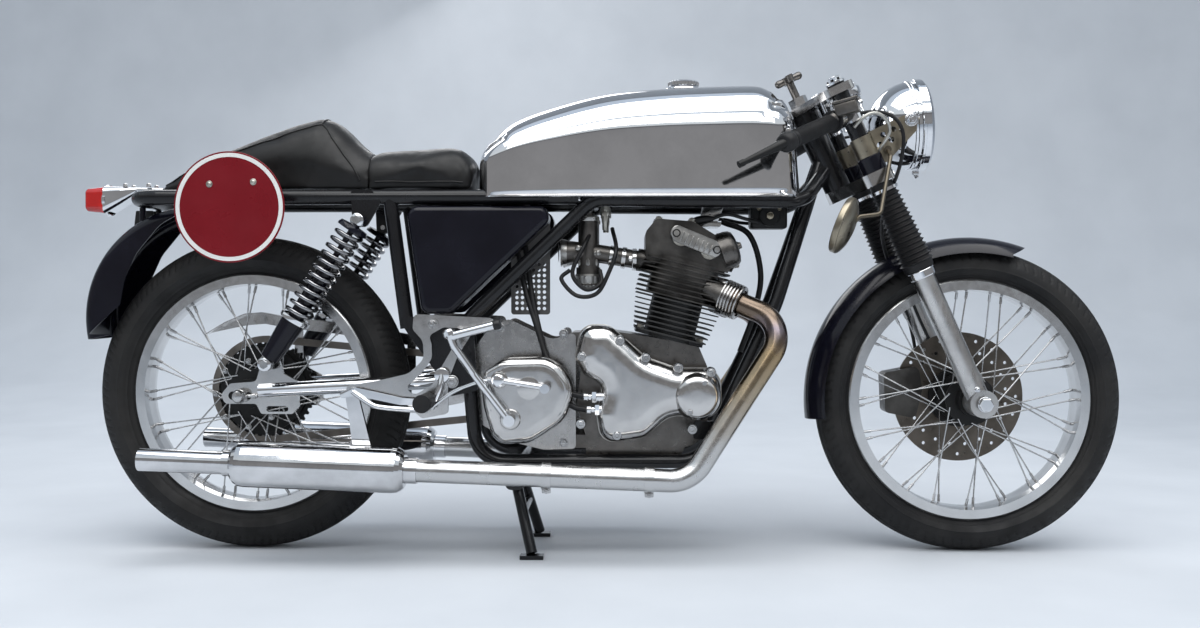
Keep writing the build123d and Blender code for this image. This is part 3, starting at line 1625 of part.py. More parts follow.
# Gearbox, clutch case and engine plates
gearbox_outline = [
    (-216, 364, 14),
    (-184, 385, 12),
    (-86, 384, 22),
    (-56, 330, 24),
    (-84, 272, 30),
    (-178, 238, 16),
    (-206, 276, 20),
]
boss_radius = 34.0
boss_x = -134.0
boss_z = 320.0
with BuildPart() as gearbox:
    side_plate(gearbox_outline, -engine_plate_y + seat_gap, chain_y - 14)
    cross_rod(boss_x, boss_z, -engine_plate_y - 20, 0, boss_radius)
    side_plate(gearbox_outline, -92, -engine_plate_y - engine_plate_thickness - seat_gap)
    side_plate(
        [
            (-223, 368, 16),
            (-186, 388, 34),
            (-92, 390, 44),
            (-50, 338, 40),
            (-72, 282, 44),
            (-134, 240, 36),
            (-190, 232, 16),
            (-212, 310, 50),
        ],
        -148,
        -92,
    )
    cover_edges = gearbox.edges().filter_by(lambda edge: abs(edge.center().Y + 148) < 0.5)
    fillet(cover_edges, 7.0)
    cross_rod(gearbox_sprocket_x, gearbox_sprocket_z, 0, chain_y + 9, 12.0)
    sprocket(gearbox_sprocket_x, gearbox_sprocket_z, gearbox_sprocket_teeth, sprocket_thickness, 11.0)
gearbox.part.label = "gearbox"
export_step(gearbox.part, "parts/gearbox.step")

crank_x = 104.0
crank_z = 300.0
clutch_z = gearbox_sprocket_z
clutch_x = gearbox_sprocket_x
primary_inner_y = 95.3
primary_outer_y = 148.0
with BuildPart() as primary_case:
    with BuildSketch(Plane.XZ.offset(-primary_outer_y)) as case_outline:
        with Locations((crank_x, crank_z)):
            Circle(74.0)
        with Locations((clutch_x, clutch_z)):
            Circle(94.0)
        Polygon(
            (crank_x + 4, crank_z + 73.8),
            (clutch_x - 1, clutch_z + 93.9),
            (clutch_x - 14, clutch_z - 92.9),
            (crank_x - 10, crank_z - 73.2),
            align=None,
        )
    extrude(case_outline.sketch, amount=primary_outer_y - primary_inner_y)
    case_edges = primary_case.edges().filter_by(
        lambda edge: abs(edge.center().Y - primary_outer_y) < 0.5
    )
    fillet(case_edges, 12.0)
    cross_rod(crank_x, crank_z, crankcase_half + seat_gap, primary_inner_y + 4, 60.0)
    cross_rod(clutch_x, clutch_z, chain_y + 10, primary_inner_y + 4, 16.0)
primary_case.part.label = "primary_case"
export_step(primary_case.part, "parts/primary_case.step")

with BuildPart() as engine_plates:
    for side in (-1, 1):
        ends = sorted((side * engine_plate_y, side * (engine_plate_y + engine_plate_thickness)))
        side_plate(
            [
                (-222, 446, 8),
                (-181, 470, 14),
                (-94, 428, 30),
                (-46, 444, 8),
                (-46, 212, 8),
                (-110, 210, 30),
                (-176, 226, 20),
                (-240, 264, 20),
                (-258, 314, 20),
                (-256, 400, 20),
            ],
            ends[0],
            ends[1],
        )
    cross_rod(boss_x, boss_z, -100, -50, boss_radius + seat_gap, Mode.SUBTRACT)
    cross_rod(clutch_x, clutch_z, 50, 100, 16.0 + seat_gap, Mode.SUBTRACT)
engine_plates.part.label = "engine_plates"
export_step(engine_plates.part, "parts/engine_plates.step")

with BuildPart() as carburettors:
    for side in (-1, 1):
        carb_x = -22.0
        y = side * inlet_flange[1]
        rod((carb_x, y, 556), (carb_x, y, 668), 20.0)
        rod((carb_x, y, 536), (carb_x, y, 572), 24.0)
        rod((carb_x, y, 668), (carb_x, y, 680), 12.0)
        taper_rod((carb_x, y, 604), (carb_x - 52, y, 602), 17.0, 25.0)
        rod((carb_x, y, 604), (inlet_flange[0] - seat_gap, y, inlet_flange[2]), 17.0)
carburettors.part.label = "carburettors"
export_step(carburettors.part, "parts/carburettors.step")

with BuildPart() as perforated_guard:
    guard_y = -55.0
    side_plate([(-176, 478, 6), (-98, 478, 6), (-98, 666, 6), (-176, 666, 6)], guard_y - 2, guard_y)
    for stud_x in (-166, -112):
        cross_rod(stud_x, 658 if stud_x > -140 else 628, -62 + fit_gap, guard_y, 5.0)
    with BuildSketch(Plane.XZ.offset(-(guard_y + 1))) as holes:
        with Locations((-137, 534)):
            with GridLocations(11, 11, 6, 9):
                Circle(3.4)
    extrude(holes.sketch, amount=4, mode=Mode.SUBTRACT)
perforated_guard.part.label = "perforated_guard"
export_step(perforated_guard.part, "parts/perforated_guard.step")

# Exhaust, one side the mirror of the other
hanger_y = gusset_y + gusset_thickness + 0.8
hanger_plate_y = hanger_y + 8.0 + 1.9
pipe_radius = 22.0
pipe_wall = 1.5
silencer_y = 176.0
silencer_radius = 44.5
silencer_front_x = -367.0
silencer_rear_x = -697.0
pipe_low_x = 111.0
pipe_low_z = 166.0
pipe_rise = 0.037


def pipe_z(x):
    """Height of the straight run of the exhaust at a place along the bike."""
    return pipe_low_z + (pipe_low_x - x) * pipe_rise


pipe_end_x = silencer_front_x - 50.0
with BuildPart() as exhaust_pipes:
    for side in (-1, 1):
        port = Vector(exhaust_port[0], side * exhaust_port[1], exhaust_port[2])
        port_way = Vector(exhaust_way.X, side * exhaust_way.Y, exhaust_way.Z)
        run = [
            tuple(port + port_way * seat_gap),
            (exhaust_corner[0], side * exhaust_corner[1], exhaust_corner[2]),
            (174, side * 170, 162),
            (pipe_low_x - 10, side * silencer_y, pipe_z(pipe_low_x - 10)),
            (pipe_end_x + 62, side * silencer_y, pipe_z(pipe_end_x + 62)),
        ]
        bent_tube(run, pipe_radius, [60, 70, 40])
        rod(tuple(port + port_way * seat_gap), tuple(port + port_way * 16), 29.0)
        for band_x in (pipe_low_x - 14, -98.0):
            rod(
                (band_x - 9, side * silencer_y, pipe_z(band_x - 9)),
                (band_x + 9, side * silencer_y, pipe_z(band_x + 9)),
                pipe_radius + 3,
            )
exhaust_pipes.part.label = "exhaust_pipes"
export_step(exhaust_pipes.part, "parts/exhaust_pipes.step")

tail_pipe_x = -876.0
with BuildPart() as silencers:
    for side in (-1, 1):
        sections = [
            (silencer_front_x + 24, pipe_radius + 3),
            (silencer_front_x, pipe_radius + 3.1),
            (silencer_front_x - 0.1, pipe_radius + 11),
            (silencer_front_x - 6, silencer_radius - 6),
            (silencer_front_x - 14, silencer_radius - 1.5),
            (silencer_front_x - 24, silencer_radius),
            (silencer_rear_x + 24, silencer_radius - 0.1),
            (silencer_rear_x + 14, silencer_radius - 1.5),
            (silencer_rear_x + 6, silencer_radius - 6),
            (silencer_rear_x, pipe_radius + 10),
            (silencer_rear_x - 0.1, pipe_radius + 3.1),
            (silencer_rear_x - 16, pipe_radius + 3),
            (silencer_rear_x - 16.1, pipe_radius),
            (tail_pipe_x, pipe_radius - 0.1),
        ]
        for (x_a, radius_a), (x_b, radius_b) in zip(sections, sections[1:]):
            taper_rod(
                (x_a, side * silencer_y, pipe_z(x_a)),
                (x_b, side * silencer_y, pipe_z(x_b)),
                radius_a,
                radius_b if abs(radius_a - radius_b) > 0.01 else radius_a - 0.01,
            )
        front = silencer_front_x + 26
        rod(
            (front, side * silencer_y, pipe_z(front)),
            (pipe_end_x, side * silencer_y, pipe_z(pipe_end_x)),
            pipe_radius + seat_gap,
            Mode.SUBTRACT,
        )
        rod(
            (tail_pipe_x - 2, side * silencer_y, pipe_z(tail_pipe_x - 2)),
            (tail_pipe_x + 150, side * silencer_y, pipe_z(tail_pipe_x + 150)),
            pipe_radius - pipe_wall,
            Mode.SUBTRACT,
        )
        ends = sorted((side * hanger_plate_y, side * (hanger_plate_y + 10)))
        side_plate(
            [(-492, 330, 8), (-468, 330, 8), (-436, 200, 8), (-436, 172, 5), (-470, 172, 5)],
            ends[0],
            ends[1],
        )
silencers.part.label = "silencers"
export_step(silencers.part, "parts/silencers.step")

# Footrest hangers with their rests, and the levers worked by foot
hanger_thickness = 8.0
footrest_x = -329.0
footrest_z = 313.0
with BuildPart() as footrest_hangers:
    for side in (-1, 1):
        ends = sorted((side * hanger_y, side * (hanger_y + hanger_thickness)))
        side_plate(
            [
                (-360, 480, 10),
                (-202, 472, 10),
                (-206, 450, 8),
                (-244, 446, 12),
                (-274, 398, 30),
                (-293, 350, 14),
                (-293, 286, 8),
                (-344, 276, 10),
                (-374, 304, 12),
                (-384, 320, 6),
                (-492, 318, 8),
                (-492, 340, 8),
                (-430, 350, 40),
                (-370, 364, 34),
                (-340, 392, 26),
                (-342, 428, 26),
                (-362, 450, 10),
            ],
            ends[0],
            ends[1],
        )
        side_plate(
            [
                (-330, 438, 10),
                (-302, 454, 8),
                (-262, 452, 7),
                (-311, 368, 12),
                (-324, 342, 14),
                (-360, 321, 12),
                (-377, 336, 9),
                (-346, 364, 34),
                (-324, 394, 22),
                (-325, 422, 14),
            ],
            ends[0] - 1,
            ends[1] + 1,
            Mode.SUBTRACT,
        )
        for boss_at, boss_size in (((-323, 460), 12.0), ((-303, 362), 12.0)):
            faces = sorted((side * (hanger_y + 4), side * (hanger_y + hanger_thickness + 4)))
            cross_rod(boss_at[0], boss_at[1], faces[0], faces[1], boss_size)
        cross_rod(swing_pivot_x, swing_pivot_z, ends[0] - 1, ends[1] + 1, 12.0, Mode.SUBTRACT)
        ends = sorted((side * (hanger_y + 2), side * 206.0))
        cross_rod(footrest_x, footrest_z, ends[0], ends[1], 8.0)
        ends = sorted((side * 138.0, side * 214.0))
        cross_rod(footrest_x, footrest_z, ends[0], ends[1], 14.0)
footrest_hangers.part.label = "footrest_hangers"
export_step(footrest_hangers.part, "parts/footrest_hangers.step")

with BuildPart() as foot_levers:
    kick_x = -169.0
    kick_z = 278.0
    cross_rod(kick_x, kick_z, -184, -148 - seat_gap, 11.0)
    bent_tube([(kick_x, -172, kick_z), (-236, -174, 366), (-272, -184, 420), (-282, -186, 446)], 7.5, 30)
    rod((-280, -186, 438), (-186, -196, 462), 8.5)
    shift_x = -190.0
    shift_z = 354.0
    cross_rod(shift_x, shift_z, -170, -148 - seat_gap, 10.0)
    rod((shift_x, -165, shift_z), (-98, -168, 340), 6.0)
    cross_rod(-100, 340, -196, -164, 9.0)
foot_levers.part.label = "foot_levers"
export_step(foot_levers.part, "parts/foot_levers.step")

# Final drive: a roller chain round both sprockets, and its guard
chain_rollers = 104
chain_plate = 1.8
chain_edge = 7.0


def belt(radius_change):
    """The four tangent points of a belt round both sprockets, moved in or out."""
    span = rear_axle_x - gearbox_sprocket_x
    rise = rear_axle_z - gearbox_sprocket_z
    heading = atan2(rise, span)
    swing = acos((rear_sprocket_radius - gearbox_sprocket_radius) / hypot(span, rise))
    points = []
    wheels = (
        (rear_axle_x, rear_axle_z, rear_sprocket_radius + radius_change),
        (gearbox_sprocket_x, gearbox_sprocket_z, gearbox_sprocket_radius + radius_change),
    )
    for sign in (1, -1):
        for centre_x, centre_z, radius in wheels:
            angle = heading + pi + sign * swing
            points.append((centre_x + radius * cos(angle), centre_z + radius * sin(angle)))
    return points


def chain_places(count):
    """Evenly spaced places round the chain's centre line, each with its heading."""
    one_rear, one_front, two_rear, two_front = (Vector(x, 0, z) for x, z in belt(0))
    corners = []
    legs = (
        (one_rear, one_front, None, 0.0),
        (
            one_front,
            two_front,
            Vector(gearbox_sprocket_x, 0, gearbox_sprocket_z),
            gearbox_sprocket_radius,
        ),
        (two_front, two_rear, None, 0.0),
        (two_rear, one_rear, Vector(rear_axle_x, 0, rear_axle_z), rear_sprocket_radius),
    )
    for start, end, centre, radius in legs:
        if centre is None:
            corners.append((start, end, None, 0.0, 0.0, 0.0, (end - start).length))
            continue
        first = atan2(start.Z - centre.Z, start.X - centre.X)
        last = atan2(end.Z - centre.Z, end.X - centre.X)
        turn = leg_turn(first, last, centre.X)
        corners.append((start, end, centre, radius, first, turn, abs(turn) * radius))
    total = sum(leg[6] for leg in corners)
    places = []
    for index in range(count):
        left = total * index / count
        for start, end, centre, radius, first, turn, length in corners:
            if left > length:
                left -= length
                continue
            if centre is None:
                at = start + (end - start) * (left / length)
                places.append((at.X, at.Z, atan2(end.Z - start.Z, end.X - start.X)))
            else:
                angle = first + turn * left / length
                places.append(
                    (centre.X + radius * cos(angle), centre.Z + radius * sin(angle), angle + pi / 2)
                )
            break
    return places


def leg_turn(first, last, centre_x):
    """The signed angle round a sprocket that keeps to its outer side."""
    turn = (last - first) % (2 * pi)
    middle = cos(first + turn / 2)
    outward = 1.0 if centre_x > (rear_axle_x + gearbox_sprocket_x) / 2 else -1.0
    return turn if middle * outward > 0 else turn - 2 * pi


with BuildPart() as chain:
    rear_top, front_top, rear_bottom, front_bottom = belt(0)
    for band_y in (chain_y + chain_half_width, chain_y - chain_half_width + chain_plate):
        with BuildSketch(Plane.XZ.offset(-band_y)) as band:
            for change, mode in ((chain_edge, Mode.ADD), (-chain_edge, Mode.SUBTRACT)):
                with BuildSketch(Plane.XZ.offset(-band_y), mode=Mode.PRIVATE) as loop_face:
                    Polygon(*[belt(change)[index] for index in (0, 1, 3, 2)], align=None)
                    with Locations((rear_axle_x, rear_axle_z)):
                        Circle(rear_sprocket_radius + change)
                    with Locations((gearbox_sprocket_x, gearbox_sprocket_z)):
                        Circle(gearbox_sprocket_radius + change)
                add(loop_face.sketch, mode=mode)
        extrude(band.sketch, amount=chain_plate)
    with BuildSketch(Plane.XZ.offset(-(chain_y + chain_half_width - chain_plate))) as rollers:
        for x, z, heading in chain_places(chain_rollers):
            with Locations(Location((x, z, 0), (0, 0, degrees(heading)))):
                Rectangle(2 * roller_half, 2 * roller_half)
    extrude(rollers.sketch, amount=2 * (chain_half_width - chain_plate))
chain.part.label = "chain"
export_step(chain.part, "parts/chain.step")

# Chain guard: a strip over the chain's top run, edge turned in above it
guard_top = [
    (-832, 436),
    (-792, 460),
    (-750, 478),
    (-712, 481),
    (-664, 472),
    (-560, 460),
    (-440, 442),
    (-344, 424),
]
guard_drop = 25.0
guard_sheet = 2.0
guard_outer_y = 75.2
guard_inner_y = 54.0
arm_rise = (rear_axle_z + 10 - swing_pivot_z) / (arm_end_x - swing_pivot_x)
with BuildPart() as chain_guard:
    lower_line = [(x, z - guard_drop) for x, z in guard_top[2:]]
    side_plate(
        [(x, z, 0) for x, z in guard_top + lower_line[::-1]],
        guard_outer_y - guard_sheet,
        guard_outer_y,
    )
    edge_line = [(x, z - guard_sheet) for x, z in guard_top]
    side_plate([(x, z, 0) for x, z in guard_top + edge_line[::-1]], guard_inner_y, guard_outer_y)
    for tab_x, tab_top in ((-640, 450), (-400, 420)):
        arm_z = swing_pivot_z + (tab_x - swing_pivot_x) * arm_rise
        side_plate(
            [
                (tab_x - 9, tab_top, 0),
                (tab_x + 9, tab_top, 0),
                (tab_x + 9, arm_z - 8, 4),
                (tab_x - 9, arm_z - 8, 4),
            ],
            guard_outer_y - guard_sheet,
            guard_outer_y,
        )
        cross_rod(tab_x, arm_z, guard_outer_y - 1, swing_half_track - swing_tube_radius - fit_gap, 5.0)
chain_guard.part.label = "chain_guard"
export_step(chain_guard.part, "parts/chain_guard.step")
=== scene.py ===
import math

import bmesh
import bpy
from mathutils import Matrix, Vector
from mathutils.geometry import delaunay_2d_cdt


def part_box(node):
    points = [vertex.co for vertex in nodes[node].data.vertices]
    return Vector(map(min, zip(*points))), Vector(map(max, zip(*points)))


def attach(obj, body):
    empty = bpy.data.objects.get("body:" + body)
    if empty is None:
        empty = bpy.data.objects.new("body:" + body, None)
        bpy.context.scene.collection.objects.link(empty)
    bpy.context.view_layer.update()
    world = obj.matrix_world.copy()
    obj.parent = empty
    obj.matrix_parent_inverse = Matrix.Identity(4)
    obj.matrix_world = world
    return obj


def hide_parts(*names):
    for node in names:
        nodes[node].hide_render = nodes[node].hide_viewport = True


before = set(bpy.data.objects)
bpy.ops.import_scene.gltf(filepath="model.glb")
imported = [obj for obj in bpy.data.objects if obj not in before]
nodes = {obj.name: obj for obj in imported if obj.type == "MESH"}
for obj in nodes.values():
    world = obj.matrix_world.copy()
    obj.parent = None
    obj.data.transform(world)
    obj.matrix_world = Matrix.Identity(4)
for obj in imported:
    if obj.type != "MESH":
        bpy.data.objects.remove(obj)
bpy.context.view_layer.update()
scene = bpy.context.scene
scene.view_settings.view_transform = "Standard"
METRES = 0.001
MERGE_GAP = 0.004
SIDES = (-1, 1)
SIDE_NAMES = {-1: "right", 1: "left"}
TO_RIGHT = (0, -1, 0)
UPWARD = (0, 0, 1)
DOWNWARD = (0, 0, -1)


# Materials
def set_stops(elements, stops):
    """Gives a colour ramp its stops, each a place and a colour or a grey."""
    while len(elements) < len(stops):
        elements.new(0.5)
    for element, (place, value) in zip(elements, stops):
        element.position = place
        element.color = (*value, 1.0) if isinstance(value, tuple) else (value, value, value, 1.0)


class Shader:
    """A node material that starts from one Principled shader."""

    def __init__(self, name, color, rough=0.5, metal=0.0, **sockets):
        self.material = bpy.data.materials.new(name)
        self.material.use_nodes = True
        self.tree = self.material.node_tree
        self.bsdf = self.tree.nodes["Principled BSDF"]
        self.material.diffuse_color = (*color, 1.0)
        self.bsdf.inputs["Base Color"].default_value = (*color, 1.0)
        self.bsdf.inputs["Roughness"].default_value = rough
        self.bsdf.inputs["Metallic"].default_value = metal
        for socket, value in sockets.items():
            self.bsdf.inputs[socket.replace("_", " ")].default_value = value
        self.place = self.node("ShaderNodeTexCoord").outputs["Object"]
        self.bumps = None

    def node(self, kind, **values):
        made = self.tree.nodes.new(kind)
        for key, value in values.items():
            if key in made.inputs:
                made.inputs[key].default_value = value
            else:
                setattr(made, key, value)
        return made

    def link(self, source, target):
        self.tree.links.new(source, target)

    def stretched(self, stretch):
        """The object's coordinates, scaled along each axis."""
        if not stretch:
            return self.place
        mapping = self.node("ShaderNodeMapping", Scale=stretch)
        self.link(self.place, mapping.inputs["Vector"])
        return mapping.outputs["Vector"]

    def noise(self, scale, detail=3.0, stretch=None, rough=0.5):
        texture = self.node("ShaderNodeTexNoise", Scale=scale, Detail=detail, Roughness=rough)
        self.link(self.stretched(stretch), texture.inputs["Vector"])
        return texture.outputs["Fac"]

    def voronoi(self, scale, feature="DISTANCE_TO_EDGE", stretch=None):
        texture = self.node("ShaderNodeTexVoronoi", feature=feature, Scale=scale)
        self.link(self.stretched(stretch), texture.inputs["Vector"])
        return texture.outputs["Distance"]

    def along(self, axis, low, high):
        """A value that runs from 0 to 1 between two places on an axis."""
        parts = self.node("ShaderNodeSeparateXYZ")
        self.link(self.place, parts.inputs[0])
        spread = self.node("ShaderNodeMapRange")
        spread.inputs["From Min"].default_value = low
        spread.inputs["From Max"].default_value = high
        self.link(parts.outputs[axis], spread.inputs["Value"])
        return spread.outputs["Result"]

    def math(self, operation, first, second):
        made = self.node("ShaderNodeMath", operation=operation)
        for value, socket in ((first, made.inputs[0]), (second, made.inputs[1])):
            if isinstance(value, (float, int)):
                socket.default_value = value
            else:
                self.link(value, socket)
        return made.outputs[0]

    def ramp(self, factor, stops):
        made = self.node("ShaderNodeValToRGB")
        set_stops(made.color_ramp.elements, stops)
        self.link(factor, made.inputs["Fac"])
        return made.outputs["Color"]

    def mix(self, factor, first, second):
        made = self.node("ShaderNodeMix", data_type="RGBA")
        for value, socket in (
            (factor, made.inputs[0]), (first, made.inputs[6]), (second, made.inputs[7]),
        ):
            if isinstance(value, (float, int)):
                socket.default_value = value
            elif isinstance(value, tuple):
                socket.default_value = (*value, 1.0)
            else:
                self.link(value, socket)
        return made.outputs[2]

    def color(self, source):
        self.link(source, self.bsdf.inputs["Base Color"])

    def mottle(self, stops, *noise):
        """Varies the colour. The noise's arguments come last, here and below."""
        self.color(self.ramp(self.noise(*noise), stops))

    def wear(self, low, high, *noise):
        """Varies the roughness."""
        spread = self.ramp(self.noise(*noise), [(0.3, low), (0.7, high)])
        self.link(spread, self.bsdf.inputs["Roughness"])

    def grain(self, strength, distance, *noise):
        """Adds fine relief."""
        self.bump(self.noise(*noise), strength, distance)

    def bump(self, height, strength=0.3, distance=0.0005):
        made = self.node("ShaderNodeBump", Strength=strength, Distance=distance)
        self.link(height, made.inputs["Height"])
        if self.bumps is not None:
            self.link(self.bumps, made.inputs["Normal"])
        self.bumps = made.outputs["Normal"]
        self.link(self.bumps, self.bsdf.inputs["Normal"])

    def edge_wear(self, base, worn, amount=0.6, radius=0.003):
        """Lightens or dulls a colour along the shape's sharp edges."""
        bevel = self.node("ShaderNodeBevel", samples=4, Radius=radius)
        geometry = self.node("ShaderNodeNewGeometry")
        difference = self.node("ShaderNodeVectorMath", operation="DISTANCE")
        self.link(bevel.outputs["Normal"], difference.inputs[0])
        self.link(geometry.outputs["Normal"], difference.inputs[1])
        edge = self.ramp(difference.outputs["Value"], [(0.05, 0.0), (0.6, amount)])
        return self.mix(edge, base, worn)


def metal(name, color, rough, grain=(1, 1, 1), spread=0.10, bump=0.04, scale=60, grime=0.0):
    """Bare or plated metal with fine grain, uneven polish and some grime."""
    shader = Shader(name, color, rough, 1.0)
    shader.wear(max(rough - spread / 2, 0.02), rough + spread / 2, scale, 5, grain)
    shader.grain(bump, 0.0002, scale * 8, 2, grain)
    dull = tuple(part * (1 - grime) for part in color)
    shader.mottle([(0.38, dull), (0.60, color)], scale / 4, 6, None, 0.62)
    return shader


def paint(name, color, rough, coat=0.0, dust=1.6):
    """Paint with dust-sized unevenness, slight orange peel and a duller film in places."""
    shader = Shader(
        name, color, rough, 0.0, Coat_Weight=coat, Coat_Roughness=0.06, Specular_IOR_Level=0.27,
    )
    dusty = tuple(part * dust + 0.002 for part in color)
    shader.mottle([(0.42, color), (0.75, dusty)], 11, 6, None, 0.6)
    shader.wear(max(rough - 0.05, 0.03), rough + 0.08, 14, 4)
    shader.grain(0.05, 0.0002, 260, 2)
    return shader


def hammered(name, color, rough):
    """Hand-beaten sheet polished to a mirror, with slow ripples left in it."""
    shader = metal(name, color, rough, spread=0.05, bump=0.004, scale=26, grime=0.12)
    shader.grain(0.14, 0.0035, 5.5, 2)
    return shader


tank_alloy = hammered("tank_alloy", (0.80, 0.80, 0.81), 0.05)
polished = metal("polished_alloy", (0.60, 0.59, 0.58), 0.17, bump=0.05, scale=90, grime=0.14)
plate_alloy = metal("plate_alloy", (0.44, 0.43, 0.42), 0.24, spread=0.12, bump=0.06, scale=90, grime=0.15)
# Very dark alloy: its dark base colour is painted shade, standing in for the shade over the crankcase;
# the mottled grime in it is real dirt
shade_dark_alloy = metal("shade_dark_alloy", (0.17, 0.16, 0.15), 0.32, spread=0.14, bump=0.10, scale=90, grime=0.35)
rim_alloy = metal("rim_alloy", (0.62, 0.62, 0.62), 0.19, bump=0.02, grime=0.14)
slider_alloy = metal("slider_alloy", (0.60, 0.59, 0.58), 0.30, (1, 1, 0.2), 0.16, 0.10, 70, 0.20)
satin = metal("satin_alloy", (0.46, 0.45, 0.43), 0.32, spread=0.14, bump=0.10, scale=90, grime=0.18)
old_alloy = metal("old_alloy", (0.15, 0.14, 0.13), 0.40, spread=0.2, bump=0.16, scale=90, grime=0.3)
cast = Shader("cast_alloy", (0.30, 0.29, 0.28), 0.42, 1.0)
cast.mottle([(0.36, (0.05, 0.047, 0.044)), (0.70, (0.125, 0.118, 0.11))], 22, 6)
cast.wear(0.30, 0.52, 30, 4)
cast.grain(0.35, 0.0003, 900, 2)
chrome = metal("chrome_plate", (0.78, 0.79, 0.81), 0.06, spread=0.06, bump=0.006, scale=30, grime=0.10)
steel = metal("bright_steel", (0.56, 0.56, 0.56), 0.24, spread=0.14, bump=0.06, grime=0.25)
brass = metal("old_brass", (0.34, 0.30, 0.23), 0.32, spread=0.12, bump=0.06, grime=0.2)
dull_brass = metal("dull_brass", (0.15, 0.13, 0.10), 0.36, spread=0.12, bump=0.06, grime=0.25)
spring_steel = metal("spring_steel", (0.30, 0.30, 0.31), 0.10, spread=0.06, bump=0.01, grime=0.2)
zinc = metal("zinc_steel", (0.58, 0.56, 0.50), 0.34, bump=0.08, grime=0.3)
chain_steel = metal("chain_steel", (0.22, 0.20, 0.18), 0.38, spread=0.16, bump=0.1, grime=0.4)
guard_steel = metal("guard_steel", (0.16, 0.155, 0.15), 0.42, spread=0.12, bump=0.1, grime=0.4)
black_gloss = paint("black_gloss", (0.004, 0.004, 0.008), 0.16, 0.05)
black_frame = paint("black_frame", (0.006, 0.006, 0.007), 0.22, 0.2)
black_satin = paint("black_satin", (0.009, 0.009, 0.009), 0.40)
barrel_black = Shader("barrel_black", (0.014, 0.014, 0.014), 0.5)
barrel_black.color(barrel_black.edge_wear((0.014, 0.014, 0.014), (0.10, 0.095, 0.09), 0.5, 0.0015))
barrel_black.wear(0.36, 0.62, 40, 4)
barrel_black.grain(0.3, 0.0003, 700, 2)
rubber = Shader("rubber", (0.009, 0.009, 0.010), 0.5, Specular_IOR_Level=0.35)
rubber.mottle([(0.4, (0.007, 0.007, 0.008)), (0.8, (0.018, 0.017, 0.017))], 14, 5)
rubber.wear(0.36, 0.60, 40, 4)
rubber.grain(0.14, 0.0003, 420, 3)
tyre_rubber = Shader("tyre_rubber", (0.012, 0.012, 0.013), 0.66, Specular_IOR_Level=0.3)
tyre_rubber.mottle([(0.3, (0.008, 0.008, 0.009)), (0.75, (0.021, 0.020, 0.019))], 9, 6)
tyre_rubber.wear(0.52, 0.8, 30, 4)
tyre_rubber.grain(0.16, 0.0003, 600, 3)
leather = Shader("leather", (0.007, 0.007, 0.007), 0.42, Specular_IOR_Level=0.32)
leather.mottle([(0.4, (0.006, 0.006, 0.006)), (0.75, (0.012, 0.011, 0.011))], 12, 5)
leather.wear(0.34, 0.52, 60, 4)
leather.bump(leather.voronoi(420), 0.30, 0.0004)
leather.grain(0.16, 0.0015, 26, 3)
red_board = paint("red_board", (0.16, 0.004, 0.009), 0.28, 0.1, 1.15)
white_board = paint("white_board", (0.74, 0.74, 0.72), 0.32, 0.25, 0.93)
lens_glass = Shader("lens_glass", (0.95, 0.97, 0.98), 0.02, 0.0, Transmission_Weight=1.0, IOR=1.46)
lens_glass.grain(0.25, 0.001, 90, 1, (0.01, 1, 0.01))
dial_black = paint("dial_black", (0.012, 0.012, 0.013), 0.45)
dial_white = paint("dial_white", (0.70, 0.70, 0.68), 0.5, 0.0, 0.9)
red_lens = Shader("red_lens", (0.55, 0.010, 0.008), 0.10, 0.0, Coat_Weight=0.8, Coat_Roughness=0.03)
red_lens.mottle([(0.4, (0.42, 0.006, 0.005)), (0.7, (0.62, 0.014, 0.010))], 24, 3)
red_lens.bump(red_lens.voronoi(260), 0.25, 0.0006)
mirror_glass = metal("mirror_glass", (0.86, 0.87, 0.88), 0.02, spread=0.01, bump=0.0, grime=0.04)
disc_steel = metal("disc_steel", (0.15, 0.13, 0.11), 0.34, spread=0.16, bump=0.10, grime=0.35)
hose_braid = metal("hose_braid", (0.55, 0.54, 0.50), 0.36, bump=0.05, grime=0.3)
hose_braid.bump(hose_braid.voronoi(900, "F1", (1, 1, 0.5)), 0.6, 0.0006)
pipe_chrome = Shader("pipe_chrome", (0.70, 0.66, 0.60), 0.16, 1.0)
heat_noise = pipe_chrome.math("MULTIPLY", pipe_chrome.noise(16, 5), 0.24)
heat = pipe_chrome.math("ADD", pipe_chrome.along("Z", 0.10, 0.53), heat_noise)
pipe_chrome.color(
    pipe_chrome.ramp(
        heat,
        [
            (0.36, (0.56, 0.56, 0.56)),
            (0.50, (0.42, 0.38, 0.33)),
            (0.66, (0.36, 0.29, 0.20)),
            (0.82, (0.33, 0.24, 0.14)),
            (0.92, (0.20, 0.17, 0.19)),
            (1.00, (0.17, 0.13, 0.10)),
        ],
    )
)
pipe_chrome.wear(0.12, 0.30, 34, 5)
pipe_chrome.grain(0.05, 0.0002, 300, 2)
silencer_chrome = metal(
    "silencer_chrome", (0.74, 0.74, 0.75), 0.07, spread=0.08, bump=0.008, scale=30, grime=0.22,
)

